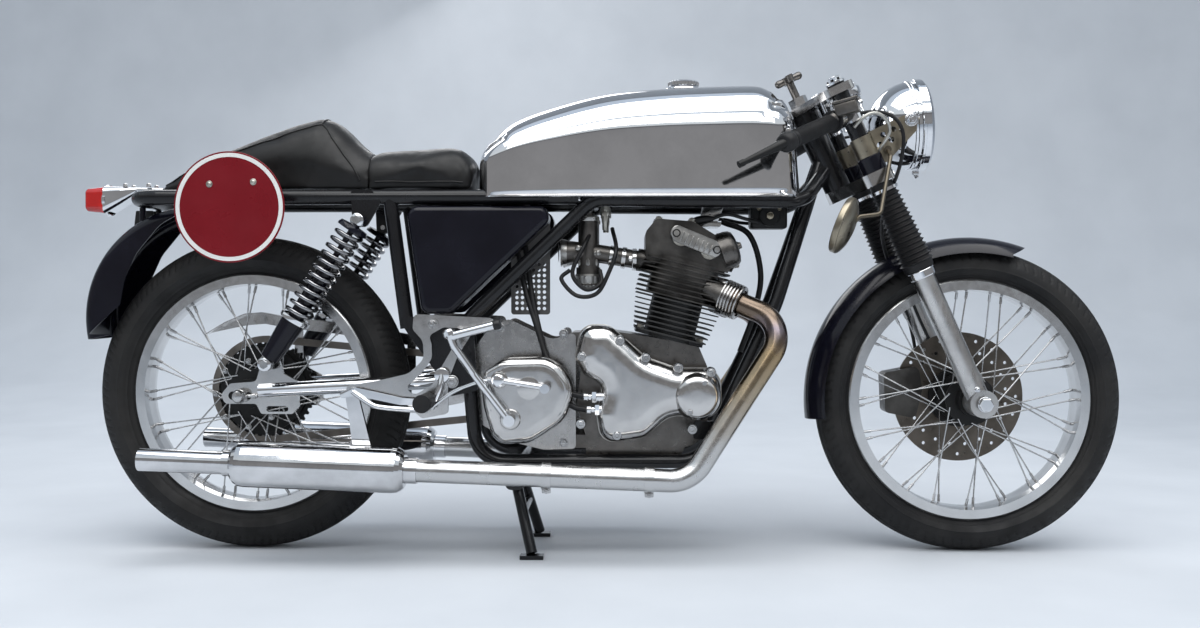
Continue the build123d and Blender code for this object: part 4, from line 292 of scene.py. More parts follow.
looks = {
    tyre_rubber: "front_tyre rear_tyre",
    tank_alloy: "fuel_tank",
    rim_alloy: "front_rim rear_rim",
    polished: "fork_yokes timing_cover gearbox primary_case footrest_hangers axle_plates chain_guard",
    plate_alloy: "engine_plates",
    # The crankcase's dark alloy colour is painted shade
    shade_dark_alloy: "crankcase steering_damper",
    slider_alloy: "fork_sliders",
    old_alloy: "carburettors",
    cast: "cylinder_head brake_caliper",
    chrome: "headlamp_shell headlamp_rim gauges tail_lamp clip_on_bars foot_levers swing_arm",
    silencer_chrome: "silencers",
    pipe_chrome: "exhaust_pipes",
    steel: "front_axle rear_axle chassis_bolts front_spokes rear_spokes",
    chain_steel: "chain",
    guard_steel: "perforated_guard",
    brass: "headlamp_brackets",
    dull_brass: "mirror",
    spring_steel: "rear_springs",
    disc_steel: "brake_disc",
    black_gloss: "rear_mudguard side_panels front_mudguard rear_dampers",
    black_frame: "frame centre_stand fork_tubes",
    black_satin: "rear_hub front_hub levers",
    barrel_black: "cylinder_block",
    rubber: "fork_gaiters grips",
    leather: "seat_pad seat_hump",
    red_board: "number_board",
    lens_glass: "headlamp_lens",
    red_lens: "tail_lens",
}
for shader, names in looks.items():
    for name in names.split():
        data = nodes[name].data
        data.materials.clear()
        data.materials.append(shader.material)

# Shapes, in millimetres until they become a piece


def axes(way):
    """Two directions square to a direction."""
    way = Vector(way).normalized()
    helper = Vector((0, 0, 1)) if abs(way.z) < 0.9 else Vector((1, 0, 0))
    side = way.cross(helper).normalized()
    return side, side.cross(way).normalized()


def circle(centre, side, up, radius, steps):
    """Points round a centre, in the plane of two directions."""
    angles = [2 * math.pi * step / steps for step in range(steps)]
    return [centre + (side * math.cos(angle) + up * math.sin(angle)) * radius for angle in angles]


def rounded(outline, steps=6):
    """A closed outline of (x, z, corner radius) rows as points, its corners made arcs."""
    points = []
    count = len(outline)
    for index, (x, z, radius) in enumerate(outline):
        here = Vector((x, z))
        before = Vector(outline[index - 1][:2]) - here
        after = Vector(outline[(index + 1) % count][:2]) - here
        if radius <= 0:
            points.append(here)
            continue
        half = before.angle(after) / 2
        reach = min(radius / math.tan(half), before.length * 0.49, after.length * 0.49)
        bend = reach * math.tan(half)
        start = here + before.normalized() * reach
        end = here + after.normalized() * reach
        middle = here + (before.normalized() + after.normalized()).normalized() * (bend / math.sin(half))
        first = math.atan2(start.y - middle.y, start.x - middle.x)
        last = math.atan2(end.y - middle.y, end.x - middle.x)
        turn = (last - first + math.pi) % (2 * math.pi) - math.pi
        for step in range(steps + 1):
            angle = first + turn * step / steps
            points.append(middle + Vector((math.cos(angle), math.sin(angle))) * bend)
    return points


def glide(points, per_run=8):
    """A smooth line through points, a cubic between each two."""
    spots = [Vector(point) for point in points]
    spots = [spots[0] * 2 - spots[1]] + spots + [spots[-1] * 2 - spots[-2]]
    line = []
    for a, b, c, d in zip(spots, spots[1:], spots[2:], spots[3:]):
        for step in range(per_run):
            t = step / per_run
            slope = (c - a) * t
            bend = (2 * a - 5 * b + 4 * c - d) * t * t
            twist = (3 * b - a - 3 * c + d) * t ** 3
            line.append(0.5 * (2 * b + slope + bend + twist))
    line.append(spots[-2])
    return line


class Form:
    """Collects shapes and turns them into one piece."""

    def __init__(self):
        self.mesh = bmesh.new()

    def rings(self, rings, caps=True):
        """Skins rings of points that all have the same count. A ring may be one point."""
        made = [[self.mesh.verts.new(point) for point in ring] for ring in rings]
        for near, far in zip(made, made[1:]):
            count = max(len(near), len(far))
            for index in range(count):
                after = (index + 1) % count
                corners = []
                for ring, spots in ((near, (index, after)), (far, (after, index))):
                    corners += [ring[0]] if len(ring) == 1 else [ring[spot] for spot in spots]
                if len(set(corners)) > 2:
                    self.mesh.faces.new(corners)
        if caps:
            for ring in (made[0], made[-1]):
                if len(ring) > 2:
                    self.mesh.faces.new(ring)

    def turned(self, base, way, profile, steps=28, caps=True):
        """A shape turned about a line. The profile's columns are distance along it and radius."""
        base = Vector(base)
        way = Vector(way).normalized()
        side, up = axes(way)
        rings = []
        for along, radius in profile:
            centre = base + way * along
            if radius < 0.001:
                rings.append([centre])
                continue
            rings.append(circle(centre, side, up, radius, steps))
        self.rings(rings, caps=caps)

    def hexagon(self, base, way, across, height, washer=1.35, dome=True):
        """A bolt head with its washer."""
        if washer:
            self.turned(
                base, way,
                [
                    (-0.6, across / 2 * washer), (1.0, across / 2 * washer),
                    (1.4, across / 2 * washer - 0.5), (1.4, 0),
                ],
                24,
            )
        radius = across / 2 / math.cos(math.pi / 6)
        start = 1.0 if washer else -0.5
        self.turned(
            base, way,
            [
                (start, radius), (start + height * 0.86, radius), (start + height, radius * 0.86),
                (start + height, 0),
            ],
            6,
        )
        if dome:
            self.turned(
                base, way,
                [
                    (start + height - 0.2, across * 0.3), (start + height + 1.2, across * 0.26),
                    (start + height + 1.6, 0),
                ],
                16,
            )

    def screw(self, base, way, radius, height):
        """A round-headed screw with a hexagonal socket."""
        self.turned(
            base,
            way,
            [(-1, radius), (height * 0.8, radius), (height, radius * 0.86), (height, radius * 0.56)],
            24,
            caps=False,
        )
        self.turned(
            base, way, [(height, radius * 0.56), (height * 0.35, radius * 0.52), (height * 0.35, 0)], 6,
            caps=False,
        )

    def slab(self, outline, low, high, edge=1.0, corner_steps=6):
        """A plate seen in the side view with softened edges, between two Y values."""
        points = rounded(outline, corner_steps)
        centre = sum(points, Vector((0, 0))) / len(points)
        rings = []
        for y, inset in (
            (low, edge), (low + edge * 0.3, edge * 0.3), (low + edge, 0), (high - edge, 0),
            (high - edge * 0.3, edge * 0.3), (high, edge),
        ):
            ring = []
            for point in points:
                inward = (centre - point).normalized() * inset
                ring.append((point.x + inward.x, y, point.y + inward.y))
            rings.append(ring)
        self.rings(rings)

    def tube(self, points, radius, steps=12, per_run=8):
        """A round tube along a smooth line. The radius may be a list, one value a point."""
        line = glide(points, per_run)
        side = None
        rings = []
        for index, spot in enumerate(line):
            way = (line[min(index + 1, len(line) - 1)] - line[max(index - 1, 0)]).normalized()
            side = axes(way)[0] if side is None else (side - way * side.dot(way)).normalized()
            up = way.cross(side)
            size = radius
            if isinstance(radius, (list, tuple)):
                place = index / per_run
                low = min(int(place), len(radius) - 2)
                size = radius[low] + (radius[low + 1] - radius[low]) * (place - low)
            rings.append(circle(spot, side, up, size, steps))
        self.rings(rings)

    def box(self, centre, size, edge=1.0, turn=None):
        """A block with softened edges."""
        made = bmesh.ops.create_cube(self.mesh, size=1.0)["verts"]
        for vert in made:
            vert.co = Vector((vert.co.x * size[0], vert.co.y * size[1], vert.co.z * size[2]))
        edges = list({line for vert in made for line in vert.link_edges})
        shaped = bmesh.ops.bevel(
            self.mesh, geom=edges, offset=edge, segments=3, affect="EDGES", profile=0.5,
        )
        parts = {vert for face in shaped["faces"] for vert in face.verts}
        parts |= {vert for vert in made if vert.is_valid}
        matrix = Matrix.Translation(Vector(centre)) @ (turn.to_4x4() if turn else Matrix.Identity(4))
        for vert in parts:
            vert.co = matrix @ vert.co

    def domed(self, outline, foot, wall, rise, reach, cell=4.0, corner_steps=10):
        """A cover seen in the side view: a wall up from its foot, then a face that swells inwards.

        The face stands out towards -Y, and rise is its height over the wall at a distance reach
        from its edge.
        """
        edge = rounded(outline, corner_steps)
        edge = [point for index, point in enumerate(edge) if (point - edge[index - 1]).length > 0.2]
        count = len(edge)
        low = Vector((min(point.x for point in edge), min(point.y for point in edge)))
        high = Vector((max(point.x for point in edge), max(point.y for point in edge)))
        runs = [(edge[index], edge[(index + 1) % count]) for index in range(count)]

        def inset(spot):
            """Distance from a spot to the outline, below zero outside it."""
            nearest = 1e9
            inside = False
            for a, b in runs:
                way = b - a
                share = max(0.0, min(1.0, (spot - a).dot(way) / way.length_squared))
                nearest = min(nearest, (spot - a - way * share).length)
                spans = (a.y > spot.y) != (b.y > spot.y)
                if spans and spot.x < (b.x - a.x) * (spot.y - a.y) / (b.y - a.y) + a.x:
                    inside = not inside
            return nearest if inside else -nearest

        spots = list(edge)
        depths = [0.0] * count
        for column in range(int((high.x - low.x) / cell) + 2):
            for row in range(int((high.y - low.y) / cell) + 2):
                spot = Vector((low.x + (column + 0.5 * (row % 2)) * cell, low.y + row * cell))
                depth = inset(spot)
                if depth > cell * 0.45:
                    spots.append(spot)
                    depths.append(depth)
        lines = [(index, (index + 1) % count) for index in range(count)]
        flat, _, cells, origins, _, _ = delaunay_2d_cdt(spots, lines, [], 1, 0.001)
        made = []
        for spot, origin in zip(flat, origins):
            share = min(depths[origin[0]] / reach, 1.0) if origin else 0.0
            lift = wall + rise * math.sqrt(max(0.0, 1 - (1 - share) ** 2))
            made.append(self.mesh.verts.new((spot.x, foot - lift, spot.y)))
        for face in cells:
            self.mesh.faces.new([made[index] for index in face])
        skirt = [[(point.x, foot - lift, point.y) for point in edge] for lift in (0.0, wall)]
        self.rings(skirt, caps=False)

    def piece(self, name, shader, body, slot, sharp=32.0, stands_for=()):
        """Makes the Blender object, in metres, riding on its body."""
        bmesh.ops.remove_doubles(self.mesh, verts=self.mesh.verts, dist=MERGE_GAP)
        bmesh.ops.recalc_face_normals(self.mesh, faces=self.mesh.faces)
        for vert in self.mesh.verts:
            vert.co *= METRES
        data = bpy.data.meshes.new(name)
        self.mesh.to_mesh(data)
        self.mesh.free()
        for face in data.polygons:
            face.use_smooth = True
        data.set_sharp_from_angle(angle=math.radians(sharp))
        data.materials.append(shader.material)
        made = bpy.data.objects.new(name, data)
        scene.collection.objects.link(made)
        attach(made, body)
        if stands_for:
            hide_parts(*stands_for)
        return made


def subdivide(made):
    """One level of smooth subdivision."""
    finer = made.modifiers.new("subdivide", "SUBSURF")
    finer.levels = 1
    finer.render_levels = 1


def cable(name, points, radius, shader, body):
    """A cable or hose held at both ends, on one body."""
    data = bpy.data.curves.new(name, "CURVE")
    data.dimensions = "3D"
    line = data.splines.new("NURBS")
    line.points.add(len(points) - 1)
    for spot, point in zip(line.points, points):
        spot.co = (*(Vector(point) * METRES), 1.0)
    line.order_u = 3
    line.use_endpoint_u = True
    line.resolution_u = 8
    data.bevel_depth = radius * METRES
    data.bevel_resolution = 3
    data.use_fill_caps = True
    data.materials.append(shader.material)
    made = bpy.data.objects.new(name, data)
    scene.collection.objects.link(made)
    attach(made, body)


# The CAD's main measures again, in millimetres
rake = math.radians(24.5)
rake_sin, rake_cos = math.sin(rake), math.cos(rake)
fork_offset = 60.0
front_axle = Vector((744.5, 0, 306))
rear_axle = Vector((-705.5, 0, 318))
steering_foot = Vector((front_axle.x - fork_offset * rake_cos, 0, front_axle.z - fork_offset * rake_sin))
fork_way = Vector((-rake_sin, 0, rake_cos))
ahead_way = Vector((rake_cos, 0, rake_sin))
across = Vector((0, 1, 0))
fork_y = 97.0
cylinder_lean = math.radians(14.0)
lean_way = Vector((math.sin(cylinder_lean), 0, math.cos(cylinder_lean)))
lean_side = Vector((math.cos(cylinder_lean), 0, -math.sin(cylinder_lean)))


def steer(height, forward=0.0, side=0.0):
    """A place given by height along the steering axis and offset ahead of it."""
    return steering_foot + fork_way * height + ahead_way * forward + across * side


def leg(height, side):
    return steer(height, fork_offset, side)


def cad_box(node):
    """The low and high corners of a CAD node's box, in millimetres."""
    return [Vector(corner) * 1000 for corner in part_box(node)]


# The tank: a box grid whose corners are rounded in three views, then given the long sloping top line


def box_grid(counts, place):
    """A closed grid of quads over a box's six faces. place() turns each -1..1 spot into millimetres."""
    form = Form()
    made = {}

    def corner(i, j, k):
        key = (i, j, k)
        if key not in made:
            spot = [2 * value / count - 1 for value, count in zip(key, counts)]
            made[key] = form.mesh.verts.new(place(*spot))
        return made[key]

    for fixed in (2, 1, 0):
        first, second = (axis for axis in range(3) if axis != fixed)
        for level in (0, counts[fixed]):
            for i in range(counts[first]):
                for j in range(counts[second]):
                    face = []
                    for step_i, step_j in ((0, 0), (1, 0), (1, 1), (0, 1)):
                        key = [level] * 3
                        key[first] = i + step_i
                        key[second] = j + step_j
                        face.append(corner(*key))
                    form.mesh.faces.new(face)
    return form


def round_corner(a, b, half_a, half_b, radius):
    """Moves a spot in a rectangle's corner square onto a rounded corner."""
    past_a = abs(a) - (half_a - radius)
    past_b = abs(b) - (half_b - radius)
    if past_a <= 0 or past_b <= 0:
        return a, b
    share = max(past_a, past_b) / math.hypot(past_a, past_b)
    return (
        math.copysign(half_a - radius + past_a * share, a),
        math.copysign(half_b - radius + past_b * share, b),
    )


def profile_height(line, x):
    """The height of a line of (x, height) knots at a place, smoothly."""
    knots = glide([(knot[0], 0, knot[1]) for knot in line], 10)
    for near, far in zip(knots, knots[1:]):
        if near.x <= x <= far.x:
            return near.z + (far.z - near.z) * (x - near.x) / max(far.x - near.x, 0.001)
    return knots[0].z if x < knots[0].x else knots[-1].z


tank_low, tank_high = cad_box("fuel_tank")
tank_half_length = (tank_high.x - tank_low.x) / 2
tank_middle = (tank_high.x + tank_low.x) / 2
tank_half = tank_high.y
tank_base = tank_low.z
tank_rise = 228.0
tank_top_line = [
    (-240, 810), (-170, 861), (-80, 894), (20, 918), (130, 929), (230, 933), (312, 934), (400, 926),
]
tank_plan_corner = 62
tank_side_corner = 96
tank_front_corner = 84
tank_rear_corner = 70
tank_low_side_corner = 15
tank_low_end_corner = 12
tank_nose_lean = 16
tank_narrowing = 0.05


def tank_spot(u, v, w):
    side_corner = tank_low_side_corner
    end_corner = tank_low_end_corner
    if w > 0:
        side_corner = tank_side_corner
        end_corner = tank_front_corner if u > 0 else tank_rear_corner
    x, y, z = u * tank_half_length, v * tank_half, w * tank_rise / 2
    x, y = round_corner(x, y, tank_half_length, tank_half, tank_plan_corner)
    y, z = round_corner(y, z, tank_half, tank_rise / 2, side_corner)
    x, z = round_corner(x, z, tank_half_length, tank_rise / 2, end_corner)
    share = z / tank_rise + 0.5
    x += tank_middle - tank_nose_lean * share * max(u, 0) ** 3
    y *= 1 - tank_narrowing * share**1.8
    return (x, y, tank_base + share * (profile_height(tank_top_line, x) - tank_base))


tank_cells = (80, 36, 30)
tank_form = box_grid(tank_cells, tank_spot)
for turn in range(5):
    bmesh.ops.smooth_vert(tank_form.mesh, verts=tank_form.mesh.verts, factor=0.5)
tank = tank_form.piece("tank_shell", tank_alloy, "chassis", "polished_alloy", 60, ["fuel_tank"])
subdivide(tank)


def tank_plan(step, steps, out):
    """A spot on the tank's outline seen from above, some way outside it."""
    angle = 2 * math.pi * step / steps
    reach_x, reach_y = tank_half_length + out, tank_half + out
    span = max(abs(math.cos(angle)) / reach_x, abs(math.sin(angle)) / reach_y)
    x, y = round_corner(
        math.cos(angle) / span, math.sin(angle) / span, reach_x, reach_y, tank_plan_corner + out,
    )
    return x + tank_middle, y


flange_steps = 160
flange = Form()
flange_rings = []
for out, z in ((-9, 1.0), (-1.0, 0.4), (1.2, 1.2), (1.6, 3.0), (1.0, 4.6), (-1.5, 5.2), (-9, 5.4)):
    flange_rings.append(
        [(*tank_plan(step, flange_steps, out - 1.6), tank_base + z) for step in range(flange_steps)]
    )
flange.rings(flange_rings, caps=False)
flange.piece("tank_seam", plate_alloy, "chassis", "polished_alloy")

cap_x = 170.0
cap_foot = 933.0
cap_steps = 120
knurl_depth = 1.3
cap = Form()
cap.turned((cap_x, 0, cap_foot), UPWARD, [(0, 38), (2.5, 37), (3.5, 33), (5.5, 27), (9, 27)], 48)
cap_rings = []
for height, radius, knurl in (
    (7, 29, 0), (8, 31.5, 1), (15, 32, 1), (16.5, 30.5, 1), (17.5, 28, 0), (19, 20, 0), (19.6, 8, 0),
):
    ring = []
    for step in range(cap_steps):
        reach = radius - (knurl_depth if knurl and step % 4 < 2 else 0)
        angle = 2 * math.pi * step / cap_steps
        ring.append((cap_x + reach * math.cos(angle), reach * math.sin(angle), cap_foot + height))
    cap_rings.append(ring)
cap.rings(cap_rings)
cap.piece("filler_cap", chrome, "chassis", "chrome", 28)

# Tyres: the section is turned about the axle, with the tread cut as it goes round


def triangle_wave(value):
    return 2 * abs(2 * (value - math.floor(value + 0.5))) - 1


def front_tread(across, turn):
    """Depth of cut of a ribbed front tread at a place across the tyre and round it."""
    wander = 0.9 * triangle_wave(turn * 48)
    for groove in (-24.0, -12.5, 0.0, 12.5, 24.0):
        if abs(across - groove - wander) < 1.5:
            return 3.0
    if 29 < abs(across) < 40 and (turn * 96 + abs(across) * 0.03) % 1 < 0.24:
        return 2.4
    return 0.0


def rear_tread(across, turn):
    """Depth of cut of a block-patterned rear tread."""
    wander = 2.2 * triangle_wave(turn * 60)
    for groove in (-21.0, -7.0, 7.0, 21.0):
        if abs(across - groove - wander) < 1.5:
            return 3.2
    if abs(across) > 23 and abs(across) < 44 and (turn * 120 - abs(across) * 0.035) % 1 < 0.26:
        return 2.8
    if 8 < abs(across) < 21 and (turn * 60 + abs(across) * 0.05) % 1 < 0.16:
        return 2.0
    return 0.0


TYRE_STEPS = 720
CROWN_CUTS = 30
BEAD_RADIUS = 245
BEAD_HALF = 26.5


def tyre(name, axle, outer, half, tread, body, node):
    shoulder = outer - half * 0.92
    bulge = outer - shoulder
    crown_radius = (half**2 + bulge**2) / (2 * bulge)
    crown_half = math.acos(1 - bulge / crown_radius)
    section = []
    for step in range(2 * CROWN_CUTS + 1):
        angle = crown_half * (1 - step / CROWN_CUTS)
        section.append(
            (crown_radius * math.sin(angle), outer - crown_radius * (1 - math.cos(angle)), True)
        )
    flank = []
    for share, out, rise in (
        (0.06, 0.6, 0), (0.12, 1.0, 0.8), (0.18, 1.2, 0), (0.34, 1.0, 0), (0.5, 0.2, 0), (0.62, -0.8, 0),
        (0.66, -1.2, 0.9), (0.71, -1.6, 0), (0.86, -2.2, 0), (0.93, -1.8, 0.8), (1.0, -1.0, 0),
    ):
        flank.append(
            (
                half + (BEAD_HALF - half) * share**1.6 + out + rise,
                shoulder + (BEAD_RADIUS - shoulder) * share, False,
            )
        )
    inner = [(26.2, 238.0, False), (26.2, 229.2, False)]
    left = [(-y, radius, cut) for y, radius, cut in flank + inner]
    section = list(reversed([(y, radius, cut) for y, radius, cut in flank + inner])) + section + left
    form = Form()
    rings = []
    for step in range(TYRE_STEPS):
        turn = step / TYRE_STEPS
        way = (math.cos(2 * math.pi * turn), math.sin(2 * math.pi * turn))
        ring = []
        for y, radius, cut in section:
            reach = radius - (tread(y, turn) if cut else 0.0)
            ring.append((axle.x + reach * way[0], y, axle.z + reach * way[1]))
        rings.append(ring)
    form.rings(rings + rings[:1], caps=False)
    form.piece(name, tyre_rubber, body, "tyre_rubber", 35, [node])


tyre("ribbed_tyre", front_axle, 306.0, 43.0, front_tread, "front_wheel", "front_tyre")
tyre("block_tyre", rear_axle, 318.0, 48.0, rear_tread, "rear_wheel", "rear_tyre")

# Seat: a padded saddle and a racing hump, puffed up by cloth pressure, then piped
CROWN_STEPS = 40
BASE_STEPS = 12
PAD_VOXEL = 0.005
PAD_PRESSURE = 4.0
PAD_STIFFNESS = 12
PAD_MOMENTS = 20


def crown_ring(x, half, low, high, side_power=0.55, top_power=0.72):
    """One section across a cushion: flat below, sides that bow, a crowned top."""
    ring = []
    for step in range(CROWN_STEPS + 1):
        angle = math.pi * step / CROWN_STEPS
        y = half * math.copysign(abs(math.cos(angle)) ** side_power, math.cos(angle))
        z = low + (high - low) * math.sin(angle) ** top_power
        ring.append((x, y, z))
    for step in range(1, BASE_STEPS):
        ring.append((x, -half + 2 * half * step / BASE_STEPS, low))
    return ring


def puffed(name, form, limit, node):
    """A pad that cloth pressure swells, each point kept within a limit of where it began."""
    pad = form.piece(name, leather, "chassis", "black_leather", 60, [node])
    remesh = pad.modifiers.new("remesh", "REMESH")
    remesh.mode = "VOXEL"
    remesh.voxel_size = PAD_VOXEL
    scene.view_layers[0].update()
    graph = bpy.context.evaluated_depsgraph_get()
    even = bpy.data.meshes.new_from_object(pad.evaluated_get(graph))
    pad.modifiers.clear()
    pad.data = even
    if not even.materials:
        even.materials.append(leather.material)
    starts = [vert.co.copy() for vert in even.vertices]
    floor_level = min(spot.z for spot in starts)
    cloth = pad.modifiers.new("cloth", "CLOTH")
    cloth.settings.use_pressure = True
    cloth.settings.uniform_pressure_force = PAD_PRESSURE
    cloth.settings.effector_weights.gravity = 0.0
    cloth.settings.tension_stiffness = PAD_STIFFNESS
    cloth.settings.compression_stiffness = PAD_STIFFNESS
    for moment in range(1, PAD_MOMENTS + 1):
        scene.frame_set(moment)
    swollen = pad.evaluated_get(bpy.context.evaluated_depsgraph_get()).to_mesh()
    spots = [vert.co.copy() for vert in swollen.vertices]
    pad.modifiers.clear()
    scene.frame_set(1)
    for vert, start, spot in zip(even.vertices, starts, spots):
        move = spot - start
        if move.length > limit * METRES:
            move = move.normalized() * limit * METRES
        vert.co = start + move
        vert.co.z = max(vert.co.z, floor_level)
    for face in even.polygons:
        face.use_smooth = True
    smooth = pad.modifiers.new("settle", "SMOOTH")
    smooth.factor = 0.5
    smooth.iterations = 6
    subdivide(pad)
    return pad


# How far a seam bead stands off its pad, in metres for each millimetre of its radius
PIPING_LIFT = 0.0002


def piping(name, pad, points, radius):
    """A sewn bead laid on a pad's surface."""
    graph = bpy.context.evaluated_depsgraph_get()
    surface = pad.evaluated_get(graph)
    line = []
    for point in glide(points, 6):
        _, spot, normal, _ = surface.closest_point_on_mesh(point * METRES)
        line.append((spot + normal * radius * PIPING_LIFT) / METRES)
    form = Form()
    form.tube(line, radius, 8, 2)
    form.piece(name, leather, "chassis", "black_leather", 60)


seat_base = cad_box("seat_pad")[0].z
pad_form = Form()
pad_form.rings(
    [
        crown_ring(x, half, seat_base + low, high)
        for x, half, low, high in (
            (-456, 100, 0, 796),
            (-430, 101, 0, 800),
            (-400, 101, 0, 802),
            (-360, 102, 0, 804),
            (-320, 102, 0, 808),
            (-296, 101, 0, 810),
            (-276, 99, 0, 806),
            (-262, 95, 0, 794),
            (-253, 90, 1, 778),
            (-249, 84, 4, 760),
        )
    ]
)
saddle = puffed("saddle", pad_form, 6, "seat_pad")

hump_form = Form()
hump_form.rings(
    [
        crown_ring(x, half, seat_base + low, high, side, top)
        for x, half, low, high, side, top in (
            (-886, 46, 2, 733, 0.5, 0.6),
            (-876, 54, 0, 741, 0.5, 0.6),
            (-838, 66, 0, 762, 0.52, 0.62),
            (-790, 76, 0, 786, 0.55, 0.66),
            (-736, 84, 0, 809, 0.58, 0.7),
            (-674, 92, 0, 834, 0.6, 0.74),
            (-613, 98, 0, 856, 0.62, 0.78),
            (-560, 101, 0, 870, 0.62, 0.78),
            (-534, 102, 0, 864, 0.62, 0.78),
            (-512, 102, 0, 844, 0.6, 0.74),
            (-492, 101, 0, 822, 0.58, 0.7),
            (-470, 101, 0, 804, 0.56, 0.66),
            (-450, 101, 0, 794, 0.55, 0.62),
        )
    ]
)
hump = puffed("seat_back", hump_form, 5, "seat_hump")
# Seams down both sides: name, pad, the bead's radius and the left side's points
seams = (
    (
        "hump_side_seam_", hump, 1.9,
        [(-880, 44, 742), (-780, 66, 794), (-680, 80, 836), (-600, 84, 862), (-548, 80, 874)],
    ),
    (
        "hump_front_seam_", hump, 1.9,
        [(-548, 80, 874), (-520, 100, 838), (-492, 106, 796), (-470, 106, 742)],
    ),
    (
        "saddle_seam_", saddle, 1.8,
        [(-440, 106, 738), (-380, 108, 738), (-310, 108, 738), (-266, 98, 738)],
    ),
)
for side in SIDES:
    for name, pad, radius, points in seams:
        piping(name + SIDE_NAMES[side], pad, [(x, side * y, z) for x, y, z in points], radius)
piping("hump_crest_seam", hump, [(-548, y, 880) for y in (-80, -40, 0, 40, 80)], 1.9)

# Number board: a dished red disc with a white ring, held by two screws
board_low, board_high = cad_box("number_board")
board_x = (board_low.x + board_high.x) / 2
board_z = (board_low.z + board_high.z) / 2
board_radius = (board_high.x - board_low.x) / 2
board_face = board_low.y
board_thick = 2.2
board_back = board_face + board_thick
ring_outer = board_radius - 3.2
ring_inner = board_radius - 11.0
board = Form()
board.turned(
    (board_x, board_back, board_z),
    TO_RIGHT,
    [
        (0, 0), (0, board_radius - 1), (0.6, board_radius), (1.6, board_radius),
        (board_thick, board_radius - 0.8), (board_thick, 0),
    ],
    120,
)
board.piece("red_disc", red_board, "chassis", "red_paint", 30, ["number_board"])
ring = Form()
ring.turned(
    (board_x, board_face, board_z),
    TO_RIGHT,
    [(-0.4, ring_inner), (0.3, ring_inner), (0.3, ring_outer), (-0.4, ring_outer)],
    120,
    caps=False,
)
ring.piece("white_ring", white_board, "chassis", "red_paint", 30)
screws = Form()
for x, z in ((-747.0, 730.0), (-662.0, 734.0)):
    screws.turned((x, board_face, z), TO_RIGHT, [(-0.5, 6.5), (0.9, 6.3), (1.2, 5.6)], 24)
    screws.turned((x, board_face - 1.0, z), TO_RIGHT, [(0, 4.3), (1.6, 3.9), (2.6, 2.4), (2.8, 0)], 24)
screws.piece("board_screws", zinc, "chassis", "steel")

# Engine: the swelling outer covers, with their screws, unions and oil lines
timing_outline = [
    (-46, 394, 20), (-32, 458, 30), (22, 458, 34), (92, 394, 90), (150, 374, 60), (236, 374, 36),
    (240, 276, 36), (138, 284, 50), (90, 240, 34), (6, 228, 34), (-3, 286, 24), (10, 340, 24),
    (-28, 362, 14),
]
timing = Form()
timing.domed(timing_outline, -96, 20, 28, 38)
timing.turned(
    (190, -138, 321), TO_RIGHT,
    [(-6, 46), (0, 44.5), (3, 42), (8, 41), (13, 38.5), (16, 34), (17.6, 26), (18, 12), (18, 0)], 64,
    caps=False,
)
timing.piece("timing_case", polished, "chassis", "polished_alloy", 50, ["timing_cover"])
timing_rim = Form()
timing_rim.slab(
    [(x + (2 if x > 90 else -2), z + (2 if z > 330 else -2), radius) for x, z, radius in timing_outline],
    -108, -102, 1.0, 10,
)
timing_rim.piece("timing_joint_face", satin, "chassis", "satin_alloy", 30)
gearbox_outline = [
    (-228, 350, 46), (-190, 396, 52), (-84, 398, 62), (-42, 336, 58), (-66, 274, 56), (-132, 230, 50),
    (-202, 228, 34), (-222, 300, 60),
]
gearbox_dome = Form()
gearbox_dome.domed(gearbox_outline, -112, 20, 17.5, 26)
gearbox_dome.piece("gearbox_outer_case", polished, "chassis", "polished_alloy", 50)
cover_face = -144.0
cap_face = -156.0
cover = Form()
for x, z in (
    (41.8, 429.0), (91.4, 396.0), (154.0, 377.0), (217.0, 368.0), (36.0, 246.0), (181.0, 258.0),
    (-32.0, 398.0), (-34.0, 268.0),
):
    cover.turned((x, cover_face + 14, z), TO_RIGHT, [(-6, 10.5), (8, 9.8), (10, 8.6)], 28)
    cover.screw((x, cover_face + 4, z), TO_RIGHT, 6.2, 4.0)
for x, z in ((204.0, 349.0), (176.0, 293.0)):
    cover.screw((x, cap_face, z), TO_RIGHT, 5.0, 3.2)
for x, z in ((-173.0, 375.0), (-84.0, 366.0), (-202.0, 296.0), (-132.0, 250.0), (-78.0, 290.0)):
    cover.turned((x, cover_face + 8, z), TO_RIGHT, [(-4, 9.5), (6, 9.0), (8, 8.0)], 28)
    cover.screw((x, cover_face, z), TO_RIGHT, 5.6, 3.6)
cover.piece("cover_screws", steel, "chassis", "steel", 28)

bosses = Form()
bosses.turned((-190, -148, 354), TO_RIGHT, [(-2, 17), (3, 16.5), (5, 15), (6, 12), (6, 9)], 32)
bosses.turned((-169, -148, 278), TO_RIGHT, [(-2, 21), (4, 20), (6, 18), (6.5, 12)], 32)
bosses.turned((-134, -147.6, 338), TO_RIGHT, [(-1, 24), (1.6, 23), (2.4, 21), (2.6, 0)], 40)
bosses.piece("cover_bosses", polished, "chassis", "polished_alloy", 30)

unions = Form()
for x, z, length in ((-30.0, 319.0, 42.0), (-24.0, 294.0, 38.0)):
    unions.turned(
        (x, -122, z), (1, 0, 0),
        [(0, 6), (2, 8.4), (9, 8.4), (11, 6.4), (16, 6.4), (18, 9.6), (length - 8, 9.6), (length, 8)], 24,
    )
    unions.hexagon((x + 18, -122, z), (1, 0, 0), 20, 9, 0, False)
unions.piece("oil_unions", chrome, "chassis", "chrome", 30)
